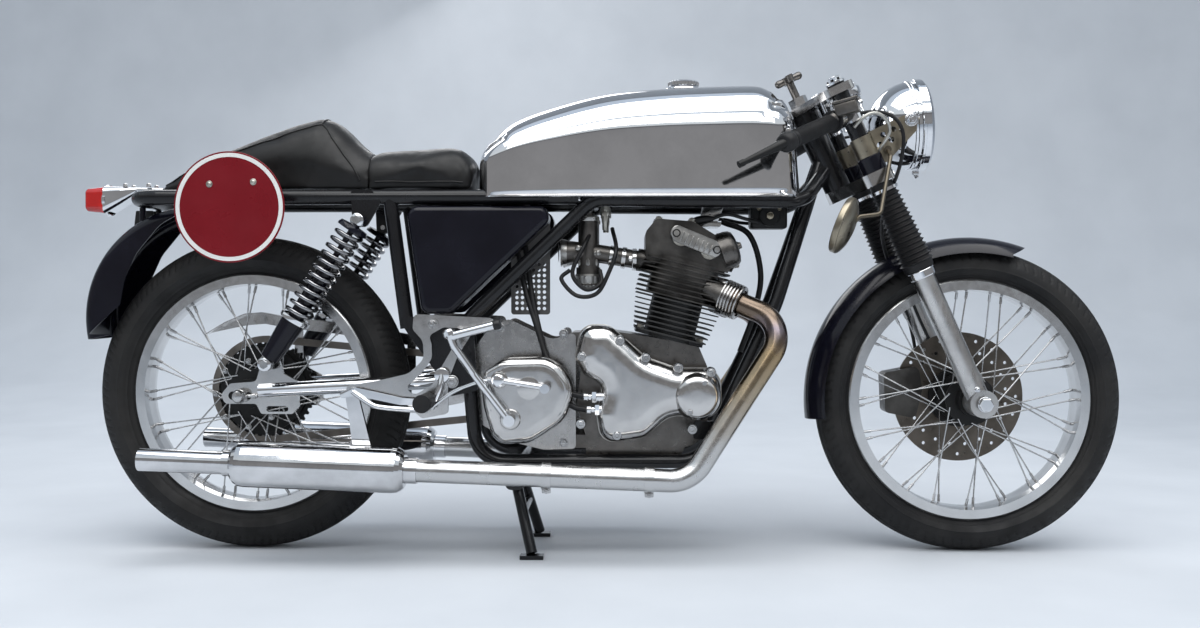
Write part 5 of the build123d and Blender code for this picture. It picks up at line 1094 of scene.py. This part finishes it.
# Oil lines, fuel pipes and leads: radius, sides and points
hoses = Form()
for radius, steps, points in (
    (
        5.6, 14,
        [
            (-30, -122, 319), (-62, -118, 332), (-98, -96, 384), (-122, -82, 452), (-150, -62, 540),
            (-168, -48, 640),
        ],
    ),
    (
        5.6, 14,
        [
            (-24, -122, 294), (-56, -116, 304), (-92, -100, 350), (-112, -86, 424), (-132, -70, 510),
            (-150, -54, 630),
        ],
    ),
    (
        4.2, 12,
        [
            (-14, -58, 646), (-30, -86, 612), (-52, -92, 560), (-26, -92, 528), (4, -88, 540),
            (2, -76, 566),
        ],
    ),
    (
        4.2, 12,
        [
            (26, -40, 650), (34, -92, 606), (20, -100, 562), (-4, -96, 520), (-44, -90, 516),
            (-74, -84, 548), (-58, -76, 566),
        ],
    ),
    (6.0, 14, [(250, 20, 668), (306, 10, 640), (330, 16, 560), (318, 30, 480), (290, 36, 400)]),
    (3.6, 10, [(214, -66, 664), (252, -74, 676), (292, -58, 668), (320, -34, 664)]),
    (3.6, 10, [(214, 66, 664), (252, 74, 676), (292, 58, 668), (320, 34, 664)]),
):
    hoses.tube(points, radius, steps)
hoses.piece("hoses_and_leads", rubber, "chassis", "black_rubber")

plugs = Form()
for side in SIDES:
    plugs.tube(
        [(176, side * 60, 648), (192, side * 63, 662), (210, side * 66, 667), (226, side * 68, 668)],
        [9, 9.5, 8.5, 5], 14, 4,
    )
plugs.piece("plug_caps", rubber, "chassis", "black_rubber", 40)

# Cylinder head: finned exhaust nuts, bolts, rocker covers and caps, the steady and the coils
port_way = Vector((107.0, -44.0, -48.0)).normalized()
nut_fins = 5
nut_fin_pitch = 6.6
for side in SIDES:
    tag = SIDE_NAMES[side]
    way = Vector((port_way.x, -side * port_way.y, port_way.z))
    port = Vector((262.0, side * 90.0, 507.0))
    profile = [(-20, 26), (-18, 33)]
    for fin in range(nut_fins):
        start = -18 + fin * nut_fin_pitch
        profile += [(start, 35.5), (start + 2.6, 35.5), (start + 3.2, 28.5), (start + 6.0, 28.5)]
    profile += [(15, 35), (17.5, 34), (18.5, 27)]
    nut = Form()
    nut.turned(port, way, profile, 48, caps=False)
    nut.piece("exhaust_nut_" + tag, plate_alloy, "chassis", "polished_alloy", 30)

head_bolts = Form()
for x, z in ((118.0, 664.0), (184.0, 661.0)):
    for y in (-66.0, -22.0, 22.0, 66.0):
        head_bolts.hexagon((x, y, z), (0.2, 0, 1), 13, 7, 1.5)
for side in SIDES:
    for x, z in ((162.0, 631.0), (218.0, 604.0)):
        head_bolts.turned(
            (x, side * 88, z), (0, side, 0), [(-1, 18), (2.5, 17.6), (4.0, 16.0), (4.2, 9)], 32,
        )
        head_bolts.hexagon((x, side * 90, z), (0, side, 0), 13, 3, 0)
    for along, up in ((-1, 0.6), (0.1, 1.0), (0.75, -0.7), (-0.7, -0.8)):
        spot = Vector((272, side * 44 + along * 18, 592.5 + up * 20))
        head_bolts.hexagon(spot, (0.97, 0, -0.24), 9, 5, 1.4)
for side in SIDES:
    for shift in (-60, -20, 20, 60):
        spot = Vector((136, side * 62, 420)) + lean_way * 17 + lean_side * shift
        head_bolts.hexagon(spot + Vector((0, side * 4, 0)), lean_way, 13, 8, 1.4)
head_bolts.piece("head_nuts", zinc, "chassis", "steel", 28)

rocker_plate = Form()
for side in SIDES:
    ends = sorted((side * 93.0, side * 104.0))
    rocker_plate.slab(
        [(138, 640, 12), (150, 656, 12), (232, 622, 12), (242, 604, 12), (230, 588, 12), (148, 622, 12)],
        ends[0], ends[1], 2,
    )
    for step in range(7):
        spot = Vector((162 + step * 9.4, side * 105, 631 - step * 4.5))
        rocker_plate.box(spot, (3.0, 6, 22), 1.0, Matrix.Rotation(math.radians(26), 3, "Y"))
rocker_plate.piece("rocker_covers", satin, "chassis", "satin_alloy", 30)
rocker_caps = Form()
cap_way = Vector((0.94, 0, 0.34)).normalized()
for side in SIDES:
    cap_foot = Vector((240, side * 70, 601))
    rocker_caps.turned(cap_foot, cap_way, [(0, 37), (18, 37), (27, 35), (32, 31), (35, 22), (36, 0)], 48)
    rocker_caps.turned(
        cap_foot + cap_way * 35, cap_way, [(0, 9), (2, 9), (2, 6.5), (8, 6.5), (9, 5), (9, 0)], 24,
    )
rocker_caps.piece("rocker_caps", shade_dark_alloy, "chassis", "satin_alloy", 35)
rocker_screws = Form()
for side in SIDES:
    for x, z in ((152.0, 638.0), (231.0, 605.0)):
        rocker_screws.turned(
            (x, side * 103.5, z), (0, side, 0), [(-1, 8.4), (1.4, 8.0), (1.8, 6.6), (0.4, 5.4), (0.4, 0)],
            24,
        )
rocker_screws.piece("rocker_screws", black_satin, "chassis", "steel", 30)

steady = Form()
for y in (-26.0, 22.0):
    steady.slab([(204, 662, 6), (214, 722, 5), (246, 722, 5), (252, 700, 5), (238, 662, 6)], y, y + 4)
steady.slab([(206, 655, 2), (206, 663, 2), (244, 663, 2), (244, 655, 2)], -42, 42)
for x, z in ((228.0, 712.0), (222.0, 676.0)):
    steady.hexagon((x, -26, z), TO_RIGHT, 13, 7, 1.4)
steady.piece("head_steady", polished, "chassis", "polished_alloy", 30)

coil = Form()
coil.box((342, 0, 676), (74, 52, 50), 6)
for side in SIDES:
    coil.turned((342, side * 26, 676), (0, side, 0), [(-2, 21), (6, 21), (8, 19), (8, 0)], 32)
coil.piece("ignition_coils", black_satin, "chassis", "black_paint", 30)
coil_trim = Form()
for side in SIDES:
    coil_trim.turned((342, side * 34, 676), (0, side, 0), [(-1, 7), (7, 7), (8, 5), (8, 0)], 20)
    for x in (322.0, 362.0):
        coil_trim.hexagon((x, side * 26, 692), (0, side, 0), 8, 5, 1.3)
coil_trim.piece("coil_terminals", brass, "chassis", "steel", 30)

# Carburettors: caps, bowls, trumpets and flanges, and the fuel taps above them
carb_x = -22.0
carb_y = 52.0
tap_y = 46.0
for side in SIDES:
    tag = SIDE_NAMES[side]
    y = side * carb_y
    carb_trim = Form()
    carb_trim.turned(
        (carb_x, y, 664), UPWARD,
        [(0, 21.6), (1.5, 22.4), (8, 22.4), (10, 20.5), (11, 12), (16, 11.5), (17, 8), (24, 7), (25, 4)],
        36,
    )
    carb_trim.turned(
        (carb_x, y, 560), DOWNWARD,
        [(0, 21), (2, 26), (5, 26.4), (8, 25), (20, 24.6), (24, 22), (25, 10), (30, 9.5), (31, 7)], 36,
    )
    carb_trim.turned((carb_x, y, 589), DOWNWARD, [(0, 20.8), (3, 21.8), (12, 21.8), (14, 20.8)], 6)
    carb_trim.hexagon((carb_x, y, 536), DOWNWARD, 14, 7, 0)
    for x, z, way in ((carb_x + 14, 600, (0.4, side, 0)), (carb_x - 14, 610, (-0.3, side, 0))):
        carb_trim.turned(
            (x, y + side * 12, z), way,
            [(0, 4.5), (8, 4.5), (9, 3.2), (16, 3.0), (16.5, 5), (21, 5), (22, 3)], 16,
        )
    carb_trim.turned(
        (carb_x - 50, y, 602), (-1, 0, 0),
        [(-8, 24.6), (0, 26.4), (3, 28.4), (4.6, 28.2), (4.6, 26.6), (0, 23.6), (-10, 20)], 44,
        caps=False,
    )
    carb_trim.turned((carb_x - 59, y, 602), (-1, 0, 0), [(0, 19.5), (0.4, 0)], 30)
    carb_trim.piece("carburettor_trim_" + tag, satin, "chassis", "satin_alloy", 30)
flanges = Form()
for side in SIDES:
    y = side * carb_y
    flanges.rings(
        [
            [
                (
                    x, y + (31 if abs(math.sin(a)) > 0 else 0) * math.cos(a) * (1.0 if scale else 0.97),
                    589 + 21 * math.sin(a) * (1.0 if scale else 0.95),
                )
                for a in (2 * math.pi * step / 40 for step in range(40))
            ]
            for x, scale in ((66.0, False), (66.8, True), (74.0, True), (75.0, False))
        ]
    )
    for shift in (-23, 23):
        flanges.hexagon((66.0, y + shift, 589), (-1, 0, 0), 10, 6, 1.3)
    for x, z in ((20, 596), (44, 593)):
        flanges.turned((x, y, z), (1, 0, -0.14), [(0, 18.5), (1, 20.5), (9, 20.5), (10, 18.5)], 32)
flanges.piece("inlet_flanges", polished, "chassis", "polished_alloy", 30)
tap = Form()
for side in SIDES:
    y = side * tap_y
    tap.turned(
        (12, y, 707), DOWNWARD,
        [(0, 13), (4, 13), (5, 9), (16, 8.6), (17, 11), (30, 11), (31, 8), (44, 7.4), (46, 6.2), (60, 6)],
        24,
    )
    tap.turned((12, y, 680), (0, side, 0), [(0, 7), (14, 7), (15, 5), (20, 4.6)], 20)
    tap.box((12, y + side * 20, 671), (7, 3.5, 26), 1.4)
tap.piece("fuel_taps", zinc, "chassis", "steel", 30)

# Headlamp: a fluted lens over a dished reflector, its bulb shade and rim screw
lamp_centre = Vector((634.0, 0, 860.0))
lamp_tilt = math.radians(4)
lamp_way = Vector((math.cos(lamp_tilt), 0, math.sin(lamp_tilt)))
reflector = Form()
reflector.turned(
    lamp_centre,
    lamp_way,
    [(13.0, 83.2)] + [
        (1.0 + 12.0 * (radius / 83.0) ** 2, radius)
        for radius in (76, 66, 54, 42, 30, 20)
    ] + [(1.0, 12), (6, 11), (10, 7), (11, 0)],
    72,
)
reflector.piece("reflector", chrome, "steering", "chrome", 60)
lens_radius = 83.5
lens_edge = 17
lens_rise = 20
lens = Form()
lens_rings = []
for radius in (lens_radius, 82, 76, 68, 58, 48, 38, 28, 18, 9):
    middle = lamp_centre + lamp_way * (lens_edge + lens_rise * (1 - (radius / lens_radius) ** 2))
    lens_rings.append(circle(middle, *axes(lamp_way), radius, 96))
lens_rings.append([lamp_centre + lamp_way * (lens_edge + lens_rise)])
lens_back = [
    [point - lamp_way * (3.0 + 0.8 * math.sin(point.y * 1.1)) for point in ring]
    for ring in lens_rings
]
lens.rings(list(reversed(lens_rings)) + lens_back, caps=False)
lens.piece("fluted_lens", lens_glass, "steering", "lamp_glass", 50, ["headlamp_lens"])
lamp_trim = Form()
lamp_trim.turned(
    lamp_centre + lamp_way * 20, lamp_way, [(-20, 92.4), (-19, 93.4), (-15, 93.6), (-14, 92.4)], 90,
    caps=False,
)
lamp_trim.turned(
    lamp_centre - lamp_way * 13.6, lamp_way, [(-1.5, 88.2), (-0.5, 90), (4, 90.4), (6, 89)], 90,
    caps=False,
)
lamp_trim.box(lamp_centre + lamp_way * 6 + Vector((0, 0, -96)), (13, 16, 9), 2)
lamp_trim.hexagon(lamp_centre + lamp_way * 8 + Vector((0, 0, -100)), (0.2, 0, -1), 8, 5, 1.3)
for side in SIDES:
    bolt = lamp_centre - lamp_way * 26 + across * side * 100
    lamp_trim.turned(bolt, (0, side, 0), [(-6, 13), (-1, 13), (0, 12), (0, 0)], 28)
    lamp_trim.hexagon(bolt, (0, side, 0), 15, 8, 1.4)
lamp_trim.piece("lamp_trim", chrome, "steering", "chrome", 30)

# Instruments: dials with generic marks under domed glasses
gauge_lean = math.radians(16)
gauge_way = Vector((-math.sin(gauge_lean), 0, math.cos(gauge_lean)))
dial_marks = 24
dial_sweep = 260
needle_turn = -2.2
dials, marks, glasses, bezels = Form(), Form(), Form(), Form()
for side in SIDES:
    top = steer(620, 81, side * 32) + gauge_way * 47
    dials.turned(top, gauge_way, [(0.1, 22.8), (0.7, 22.8), (0.7, 0)], 48)
    bezels.turned(
        top, gauge_way,
        [(-13, 27.2), (-12, 28.2), (-3, 28.4), (2, 28.0), (4.6, 26.4), (4.8, 24.4), (2.6, 23.0)], 56,
        caps=False,
    )
    side_axis, up_axis = axes(gauge_way)
    for step in range(dial_marks + 1):
        angle = math.radians(dial_sweep * (step / dial_marks - 0.5))
        way = up_axis * math.cos(angle) + side_axis * math.sin(angle)
        reach, inner, outer, thick = (18.6, 2.4, 1.9, 0.45) if step % 4 == 0 else (19.6, 1.3, 1.2, 0.3)
        spot = top + gauge_way * 0.9 + way * reach
        marks.tube([spot - way * inner, spot, spot + way * outer], thick, 6, 1)
    needle = up_axis * math.cos(needle_turn) + side_axis * math.sin(needle_turn)
    pivot = top + gauge_way * 1.7
    marks.tube([pivot - needle * 4, pivot, pivot + needle * 15], [0.9, 1.0, 0.35], 8, 2)
    glasses.turned(top + gauge_way * 2.4, gauge_way, [(0, 24.2), (1.6, 20), (2.8, 12), (3.2, 0)], 48)
dials.piece("dial_faces", dial_black, "steering", "black_paint")
marks.piece("dial_marks", dial_white, "steering", "polished_alloy")
glasses.piece("dial_glasses", lens_glass, "steering", "lamp_glass", 60)
bezels.piece("dial_bezels", chrome, "steering", "chrome", 40)

# Fork: top nuts, gaiter bands, seals, drain screws, pinch bolts and wheel nuts
fork_bright, fork_black = Form(), Form()
for side in SIDES:
    y = side * fork_y
    fork_bright.turned(leg(684, y), fork_way, [(-1, 19), (3, 19), (4, 17.5)], 32)
    fork_bright.hexagon(leg(687, y), fork_way, 26, 10, 0)
    fork_bright.turned(
        leg(286, y), fork_way, [(-16, 26.4), (-14, 27.6), (-2, 27.6), (0, 26.4)], 40, caps=False,
    )
    fork_black.turned(
        leg(288, y), fork_way, [(0, 26), (1, 29.5), (12, 30), (15, 27), (16, 19)], 40, caps=False,
    )
    fork_bright.turned(leg(452, y), fork_way, [(0, 26), (1, 28.6), (7, 28.6), (8, 26)], 40, caps=False)
    fork_bright.hexagon(leg(30, y) + across * side * 21, across * side, 9, 5, 1.3)
    for height in (466.0, 478.0):
        fork_bright.hexagon(leg(height, y) + ahead_way * 27 + across * side * -4, ahead_way, 9, 6, 1.3)
    fork_bright.hexagon(leg(670, y) + ahead_way * 24, ahead_way, 9, 6, 1.3)
    for height in (600.0, 632.0):
        fork_bright.hexagon(leg(height, y) + ahead_way * 25 + across * side * 3, ahead_way, 8, 6, 1.3)
    fork_bright.hexagon((front_axle.x, side * 130, front_axle.z), across * side, 24, 9, 1.25, False)
fork_bright.piece("fork_nuts", chrome, "steering", "chrome", 30)
fork_black.piece("fork_seals", rubber, "steering", "black_rubber", 40)

shrouds = Form()
for side in SIDES:
    shrouds.turned(
        leg(492, side * fork_y), fork_way, [(0, 22), (2, 24.5), (34, 24.5), (36, 22)], 40, caps=False,
    )
shrouds.piece("fork_shrouds", black_gloss, "steering", "black_paint", 40)

# Hand controls: ribbed grips, bar ends, clamps and the levers' pivots
grip_start = 72
grip_rib_count = 34
grip_rib_pitch = 3.9
bar_end = 222
grip_ribs, pivots = Form(), Form()
for side in SIDES:
    clamp = steer(618, 60, side * fork_y)
    way = Vector((-0.626, side * 0.706, -0.325)).normalized()
    for step in range(grip_rib_count):
        spot = clamp + way * (grip_start + step * grip_rib_pitch)
        grip_ribs.turned(spot, way, [(0, 15.4), (0.5, 16.4), (1.7, 16.4), (2.2, 15.4)], 32, caps=False)
    perch = clamp + way * bar_end
    grip_ribs.turned(perch, way, [(-4, 16), (-3, 18), (0, 19), (10, 19), (17, 17), (20, 13), (21, 0)], 36)
    pivots.hexagon(perch + way * 4 + Vector((0, 0, 16)), UPWARD, 9, 6, 1.3)
    pivots.turned(clamp + way * 40, way, [(0, 14), (1, 19), (17, 19), (18, 14)], 32)
    pivots.box(clamp + way * 46 + Vector((4, 0, 15)), (26, 20, 14), 4)
    pivots.hexagon(clamp + way * 46 + Vector((4, 0, 22)), UPWARD, 9, 5, 1.3)
grip_ribs.piece("grip_ribs", rubber, "steering", "black_rubber", 50)

# Two more arms on the steering damper's knob
damper_arms = Form()
for way in (-1, 1):
    arm = steer(739, 13 * way, 0)
    damper_arms.turned(
        arm, ahead_way * way, [(-3, 6.5), (4, 7.5), (9, 8), (13, 7), (15.5, 4.5), (16.5, 0)], 24,
    )
damper_arms.piece("damper_arms", shade_dark_alloy, "steering", "steel", 35)

pivots.piece("control_clamps", polished, "steering", "polished_alloy", 30)

# Brake lines and cables: name, radius, material, slot and points
for name, radius, shader, slot, points in (
    (
        "brake_hose", 3.6, rubber, "black_rubber",
        [
            (484, -112, 864), (540, -118, 878), (590, -122, 846), (586, -116, 770), (562, -88, 700),
            (560, -40, 640), (600, 20, 560), (640, 60, 480), (660, 78, 420), (668, 84, 372),
        ],
    ),
    (
        "front_braid", 3.4, hose_braid, "steel",
        [
            (490, -134, 838), (508, -138, 862), (540, -132, 868), (566, -124, 838), (548, -118, 806),
            (534, -80, 780),
        ],
    ),
    (
        "clutch_cable", 3.0, rubber, "black_rubber",
        [(489, 164, 846), (545, 150, 868), (588, 120, 840), (580, 60, 790), (548, 30, 770)],
    ),
    (
        "drive_cable_left", 3.2, rubber, "black_rubber",
        [
            (556, 32, 842), (566, 36, 800), (572, 30, 740), (600, 30, 640), (648, 52, 500),
            (700, 66, 400), (730, 62, 330),
        ],
    ),
    (
        "drive_cable_right", 3.2, rubber, "black_rubber",
        [(556, -32, 842), (570, -40, 806), (566, -30, 760), (548, -12, 730)],
    ),
):
    cable(name, points, radius, shader, "steering")

# Master cylinder and its square reservoir on the right bar, with the lid's screws
tilt = Matrix.Rotation(math.radians(-14), 3, "Y") @ Matrix.Rotation(math.radians(-20), 3, "Z")
reservoir = Form()
reservoir.box((474, -150, 872), (44, 40, 24), 4, tilt)
reservoir.box((472, -150, 886), (49, 44, 6), 2, tilt)
reservoir.turned((478, -128, 862), (0.3, 1, 0.1), [(-4, 12), (26, 12), (28, 10), (36, 9), (37, 6)], 28)
reservoir.turned((452, -150, 856), (-0.6, 0, -0.5), [(0, 11), (12, 11), (13, 8), (20, 7.5)], 28)
reservoir.piece("brake_reservoir", old_alloy, "steering", "satin_alloy", 30)
reservoir_screws = Form()
for shift_x in (-17, 17):
    for shift_y in (-15, 15):
        spot = Vector((472, -150, 886)) + tilt @ Vector((shift_x, shift_y, 3))
        reservoir_screws.screw(spot, tilt @ Vector((0, 0, 1)), 3.4, 1.6)
reservoir_screws.piece("reservoir_screws", steel, "steering", "steel", 30)

# Mirror: polished glass in a thin rim
mirror_centre = Vector((455.0, -205.0, 647.0))
mirror_back = Vector((0.874, -0.32, -0.362)).normalized()
glass, mirror_rim = Form(), Form()
glass.turned(mirror_centre - mirror_back * 3.0, -mirror_back, [(0, 50.5), (0.8, 50), (1.2, 0)], 64)
glass.piece("mirror_face", mirror_glass, "steering", "chrome", 60)
mirror_rim.turned(
    mirror_centre - mirror_back * 4.4, mirror_back,
    [(0, 50.4), (-0.6, 52.5), (1.5, 54.2), (10, 54.4), (15, 50), (21, 38), (25, 20), (26, 0)], 64,
    caps=False,
)
mirror_rim.piece("mirror_shell", brass, "steering", "chrome", 40)

# Wheel bolts, damper caps and collars, nuts and clamps, foot rubbers and the rear-set linkage
def bolt_circle(form, axle, y, radius, count, size, start=0.0):
    """Bolts round an axle, facing outwards from the centre plane."""
    for step in range(count):
        angle = 2 * math.pi * step / count + start
        spot = axle + Vector((radius * math.cos(angle), y, radius * math.sin(angle)))
        form.hexagon(spot, (0, math.copysign(1, y), 0), size, 5, 1.3)


hub_bits = Form()
bolt_circle(hub_bits, rear_axle, -56, 66, 8, 9)
bolt_circle(hub_bits, rear_axle, 66, 44, 6, 10, 0.3)
hub_bits.piece("rear_hub_bolts", steel, "rear_wheel", "steel", 30)
disc_bits = Form()
bolt_circle(disc_bits, front_axle, 60, 56, 6, 10)
disc_bits.piece("disc_bolts", steel, "front_wheel", "steel", 30)

damper_top = Vector((-467.0, 0, 662.0))
damper_foot = Vector((-648.5, 0, 382.0))
damper_way = (damper_foot - damper_top).normalized()
damper_bits, damper_caps = Form(), Form()
for side in SIDES:
    shift = across * side * 124
    damper_caps.turned(
        damper_top + shift + damper_way * 12, damper_way,
        [(0, 12), (2, 28), (8, 31), (11.5, 31), (11.5, 20)], 40, caps=False,
    )
    damper_bits.turned(
        damper_top + shift + damper_way * 224, damper_way,
        [(-1, 19), (0, 30), (5, 31), (9, 30), (11, 26)], 40, caps=False,
    )
    for eye in (damper_top, damper_foot):
        damper_bits.turned(
            eye + shift, across * side, [(10, 13), (13.5, 13), (14.5, 11.5), (14.5, 0)], 28,
        )
damper_caps.piece("damper_caps", black_gloss, "chassis", "black_paint", 35)
damper_bits.piece("damper_collars", chrome, "chassis", "chrome", 35)

# The low run of the pipes, which rises a little towards the rear
pipe_y = 176
pipe_slope = 0.037
pipe_front_x = 111
pipe_front_z = 166
silencer_clamp_x = -385.0


def pipe_height(x):
    return pipe_front_z + (pipe_front_x - x) * pipe_slope


# Nuts of the axle, the swing arm, the footrest hangers and the engine plates, and the pipes' clamps
chassis_bits = Form()
for side in SIDES:
    out = across * side
    chassis_bits.turned(
        (-705.5, side * 108, 318), out, [(0, 14), (8, 14), (10, 12), (18, 9.5), (19, 6)], 28,
    )
    chassis_bits.hexagon((-285, side * 121, 348), out, 19, 9, 1.35)
    for x, z in ((-323.0, 460.0), (-303.0, 362.0), (-478.0, 329.0)):
        chassis_bits.hexagon((x, side * (127 if x > -400 else 123), z), out, 12, 7, 1.4)
    for x, z in ((-196.0, 452.0), (-70.0, 440.0), (-200.0, 240.0), (-70.0, 224.0)):
        chassis_bits.hexagon((x, side * 76, z), out, 13, 7, 1.4)
    z = pipe_height(silencer_clamp_x)
    chassis_bits.turned(
        (silencer_clamp_x + 12, side * pipe_y, z),
        (-1, 0, pipe_slope),
        [(0, 24), (1, 27), (17, 27), (18, 24)],
        40,
        caps=False,
    )
    chassis_bits.box((silencer_clamp_x + 3, side * pipe_y, z - 30), (16, 9, 14), 2)
    chassis_bits.hexagon((silencer_clamp_x + 3, side * (pipe_y + 5), z - 32), out, 8, 5, 1.3)
    for x in (-98.0, 97.0):
        z = pipe_height(x)
        chassis_bits.box((x, side * pipe_y, z - 28), (17, 9, 10), 2)
        chassis_bits.hexagon((x, side * (pipe_y + 5), z - 29), out, 7, 4, 1.3)
chassis_bits.piece("chassis_nuts", steel, "chassis", "steel", 30)

rubber_ribs = 15
rubber_rib_pitch = 4.7
rubbers = Form()
for side in SIDES:
    rest = Vector((-329.0, side * 140, 313.0))
    profile = [(0, 14)]
    for rib in range(rubber_ribs):
        start = 1 + rib * rubber_rib_pitch
        profile += [(start, 16.2), (start + 2.4, 16.2), (start + 2.9, 14.6), (start + 4.2, 14.6)]
    rubbers.turned(rest, across * side, profile + [(72, 17.5), (75, 17), (76, 0)], 32)
rubbers.turned((-186, -196, 462), (94, -10, 24), [(-10, 8.6), (-9, 9.4), (0, 9.6), (3, 8), (4, 0)], 28)
rubbers.piece("foot_rubbers", rubber, "chassis", "black_rubber", 30)

linkage = Form()
linkage.slab(
    [
        (-500, 316, 6), (-502, 328, 6), (-470, 338, 6), (-380, 318, 6), (-352, 316, 6), (-352, 304, 6),
        (-384, 304, 6), (-470, 322, 6),
    ],
    -138, -131,
)
linkage.tube(
    [(-476, -140, 330), (-440, -142, 306), (-420, -142, 300), (-380, -142, 296), (-330, -142, 294)], 5.2,
    14,
)
linkage.tube([(-303, -134, 362), (-306, -140, 340), (-312, -142, 322), (-322, -142, 298)], 6.0, 14)
linkage.turned((-190, -165, 354), TO_RIGHT, [(0, 10), (3, 12), (12, 12), (15, 9), (16, 0)], 28)
linkage.turned((-281, -186, 444), (-0.3, 0, 1), [(-8, 9), (-4, 12), (4, 12), (8, 9), (10, 0)], 28)
linkage.turned((-303, -126, 362), TO_RIGHT, [(0, 14), (12, 14), (13, 12), (13, 0)], 28)
linkage.tube([(-322, -146, 300), (-280, -150, 330), (-230, -158, 350), (-194, -166, 356)], 3.6, 12)
linkage.piece("rear_set_linkage", chrome, "chassis", "chrome", 35)

# Tail: the mudguard's bracket and the lamp's rim and screws
plate = Form()
plate_outline = [(-958, 640, 3), (-952, 690, 3), (-916, 690, 3), (-912, 652, 3), (-930, 636, 3)]
for inner_y in (-9, 6):
    plate.slab(plate_outline, inner_y, inner_y + 3)
plate.piece("tail_bracket", black_satin, "chassis", "black_paint", 30)
tail_bits = Form()
tail_bits.turned(
    (-1008, 0, 711), (-1, 0, 0), [(-3, 30.5), (-2, 32.5), (3, 32.8), (5, 31.4)], 56, caps=False,
)
for x in (-968.0, -920.0):
    for side in SIDES:
        tail_bits.hexagon((x, side * 20, 738), UPWARD, 8, 5, 1.3)
tail_bits.piece("tail_lamp_trim", chrome, "chassis", "chrome", 35)

# The studio: a pale floor that curves up behind, soft lamps, and a sky that is grey round the
# horizon and bright above
floor_paint = Shader("floor_paint", (0.52, 0.54, 0.57), 0.85)
floor_paint.mottle([(0.3, (0.56, 0.59, 0.63)), (0.7, (0.61, 0.64, 0.68))], 3, 5)
# The backdrop is clear from behind, so that views from the other side see past it
facing = floor_paint.node("ShaderNodeNewGeometry")
clear = floor_paint.node("ShaderNodeBsdfTransparent")
one_sided = floor_paint.node("ShaderNodeMixShader")
floor_paint.link(facing.outputs["Backfacing"], one_sided.inputs[0])
floor_paint.link(floor_paint.bsdf.outputs[0], one_sided.inputs[1])
floor_paint.link(clear.outputs[0], one_sided.inputs[2])
floor_paint.link(one_sided.outputs[0], floor_paint.tree.nodes["Material Output"].inputs["Surface"])
sweep_half = 40
sweep_mesh = bmesh.new()
sweep_rows = [(-12.0, 0), (2.4, 0), (3.2, 0.10), (3.8, 0.45), (4.1, 1.2), (4.2, 2.4), (4.2, 14.0)]
sweep_edges = [
    [sweep_mesh.verts.new((x, y, z)) for x in (-sweep_half, sweep_half)]
    for y, z in sweep_rows
]
for near, far in zip(sweep_edges, sweep_edges[1:]):
    face = sweep_mesh.faces.new((near[0], near[1], far[1], far[0]))
    face.normal_update()
    if face.normal.z < 0 or face.normal.y > 0:
        face.normal_flip()
floor_data = bpy.data.meshes.new("floor")
sweep_mesh.to_mesh(floor_data)
sweep_mesh.free()
for face in floor_data.polygons:
    face.use_smooth = True
floor_data.materials.append(floor_paint.material)
floor = bpy.data.objects.new("floor", floor_data)
scene.collection.objects.link(floor)

world = bpy.data.worlds.new("studio")
scene.world = world
world.use_nodes = True
sky = world.node_tree
background = sky.nodes["Background"]
background.inputs["Strength"].default_value = 0.85
sky_place = sky.nodes.new("ShaderNodeTexCoord")
sky_parts = sky.nodes.new("ShaderNodeSeparateXYZ")
sky_ramp = sky.nodes.new("ShaderNodeValToRGB")
sky_height = sky.nodes.new("ShaderNodeMapRange")
sky_height.inputs["From Min"].default_value = -1.0
sky.links.new(sky_place.outputs["Generated"], sky_parts.inputs[0])
sky.links.new(sky_parts.outputs["Z"], sky_height.inputs["Value"])
sky.links.new(sky_height.outputs["Result"], sky_ramp.inputs["Fac"])
sky_stops = [
    (0.00, (0.06, 0.06, 0.06)),
    (0.47, (0.30, 0.30, 0.30)),
    (0.52, (0.34, 0.34, 0.345)),
    (0.672, (0.29, 0.29, 0.30)),
    (0.688, (0.05, 0.05, 0.06)),
    (0.706, (0.90, 0.96, 1.00)),
    (1.00, (0.70, 0.82, 0.98)),
]
set_stops(sky_ramp.color_ramp.elements, sky_stops)
sky.links.new(sky_ramp.outputs["Color"], background.inputs["Color"])


def softbox(name, place, aim, size, power, color=(1, 1, 1)):
    """A rectangular soft lamp turned to a point."""
    data = bpy.data.lights.new(name, "AREA")
    data.shape = "RECTANGLE"
    data.size, data.size_y = size
    data.energy = power
    data.color = color
    lamp = bpy.data.objects.new(name, data)
    lamp.location = place
    lamp.rotation_euler = (Vector(aim) - Vector(place)).to_track_quat("-Z", "Y").to_euler()
    scene.collection.objects.link(lamp)


softbox("top_light", (0.2, -0.9, 3.6), (0, 0, 0.4), (5.0, 2.2), 105, (1.0, 0.98, 0.95))
softbox("front_light", (0.4, -3.6, 3.6), (0, 0, 0.4), (4.5, 1.4), 70)
softbox("rear_light", (-1.5, 3.4, 3.0), (0, 0, 0.5), (3.0, 1.6), 45)

# The camera stands 2.35 m to the right of the machine's centre plane, as fitted to the photograph
camera_data = bpy.data.cameras.new("camera")
camera_data.sensor_width = 36.0
camera_data.lens = 34.47
camera = bpy.data.objects.new("camera", camera_data)
camera.location = (0.0475, -2.35, 0.515)
turn = math.radians(1.147)
dip = math.radians(0.897)
view_way = Vector((-math.sin(turn) * math.cos(dip), math.cos(turn) * math.cos(dip), -math.sin(dip)))
camera.rotation_euler = view_way.to_track_quat("-Z", "Y").to_euler()
scene.collection.objects.link(camera)
scene.camera = camera
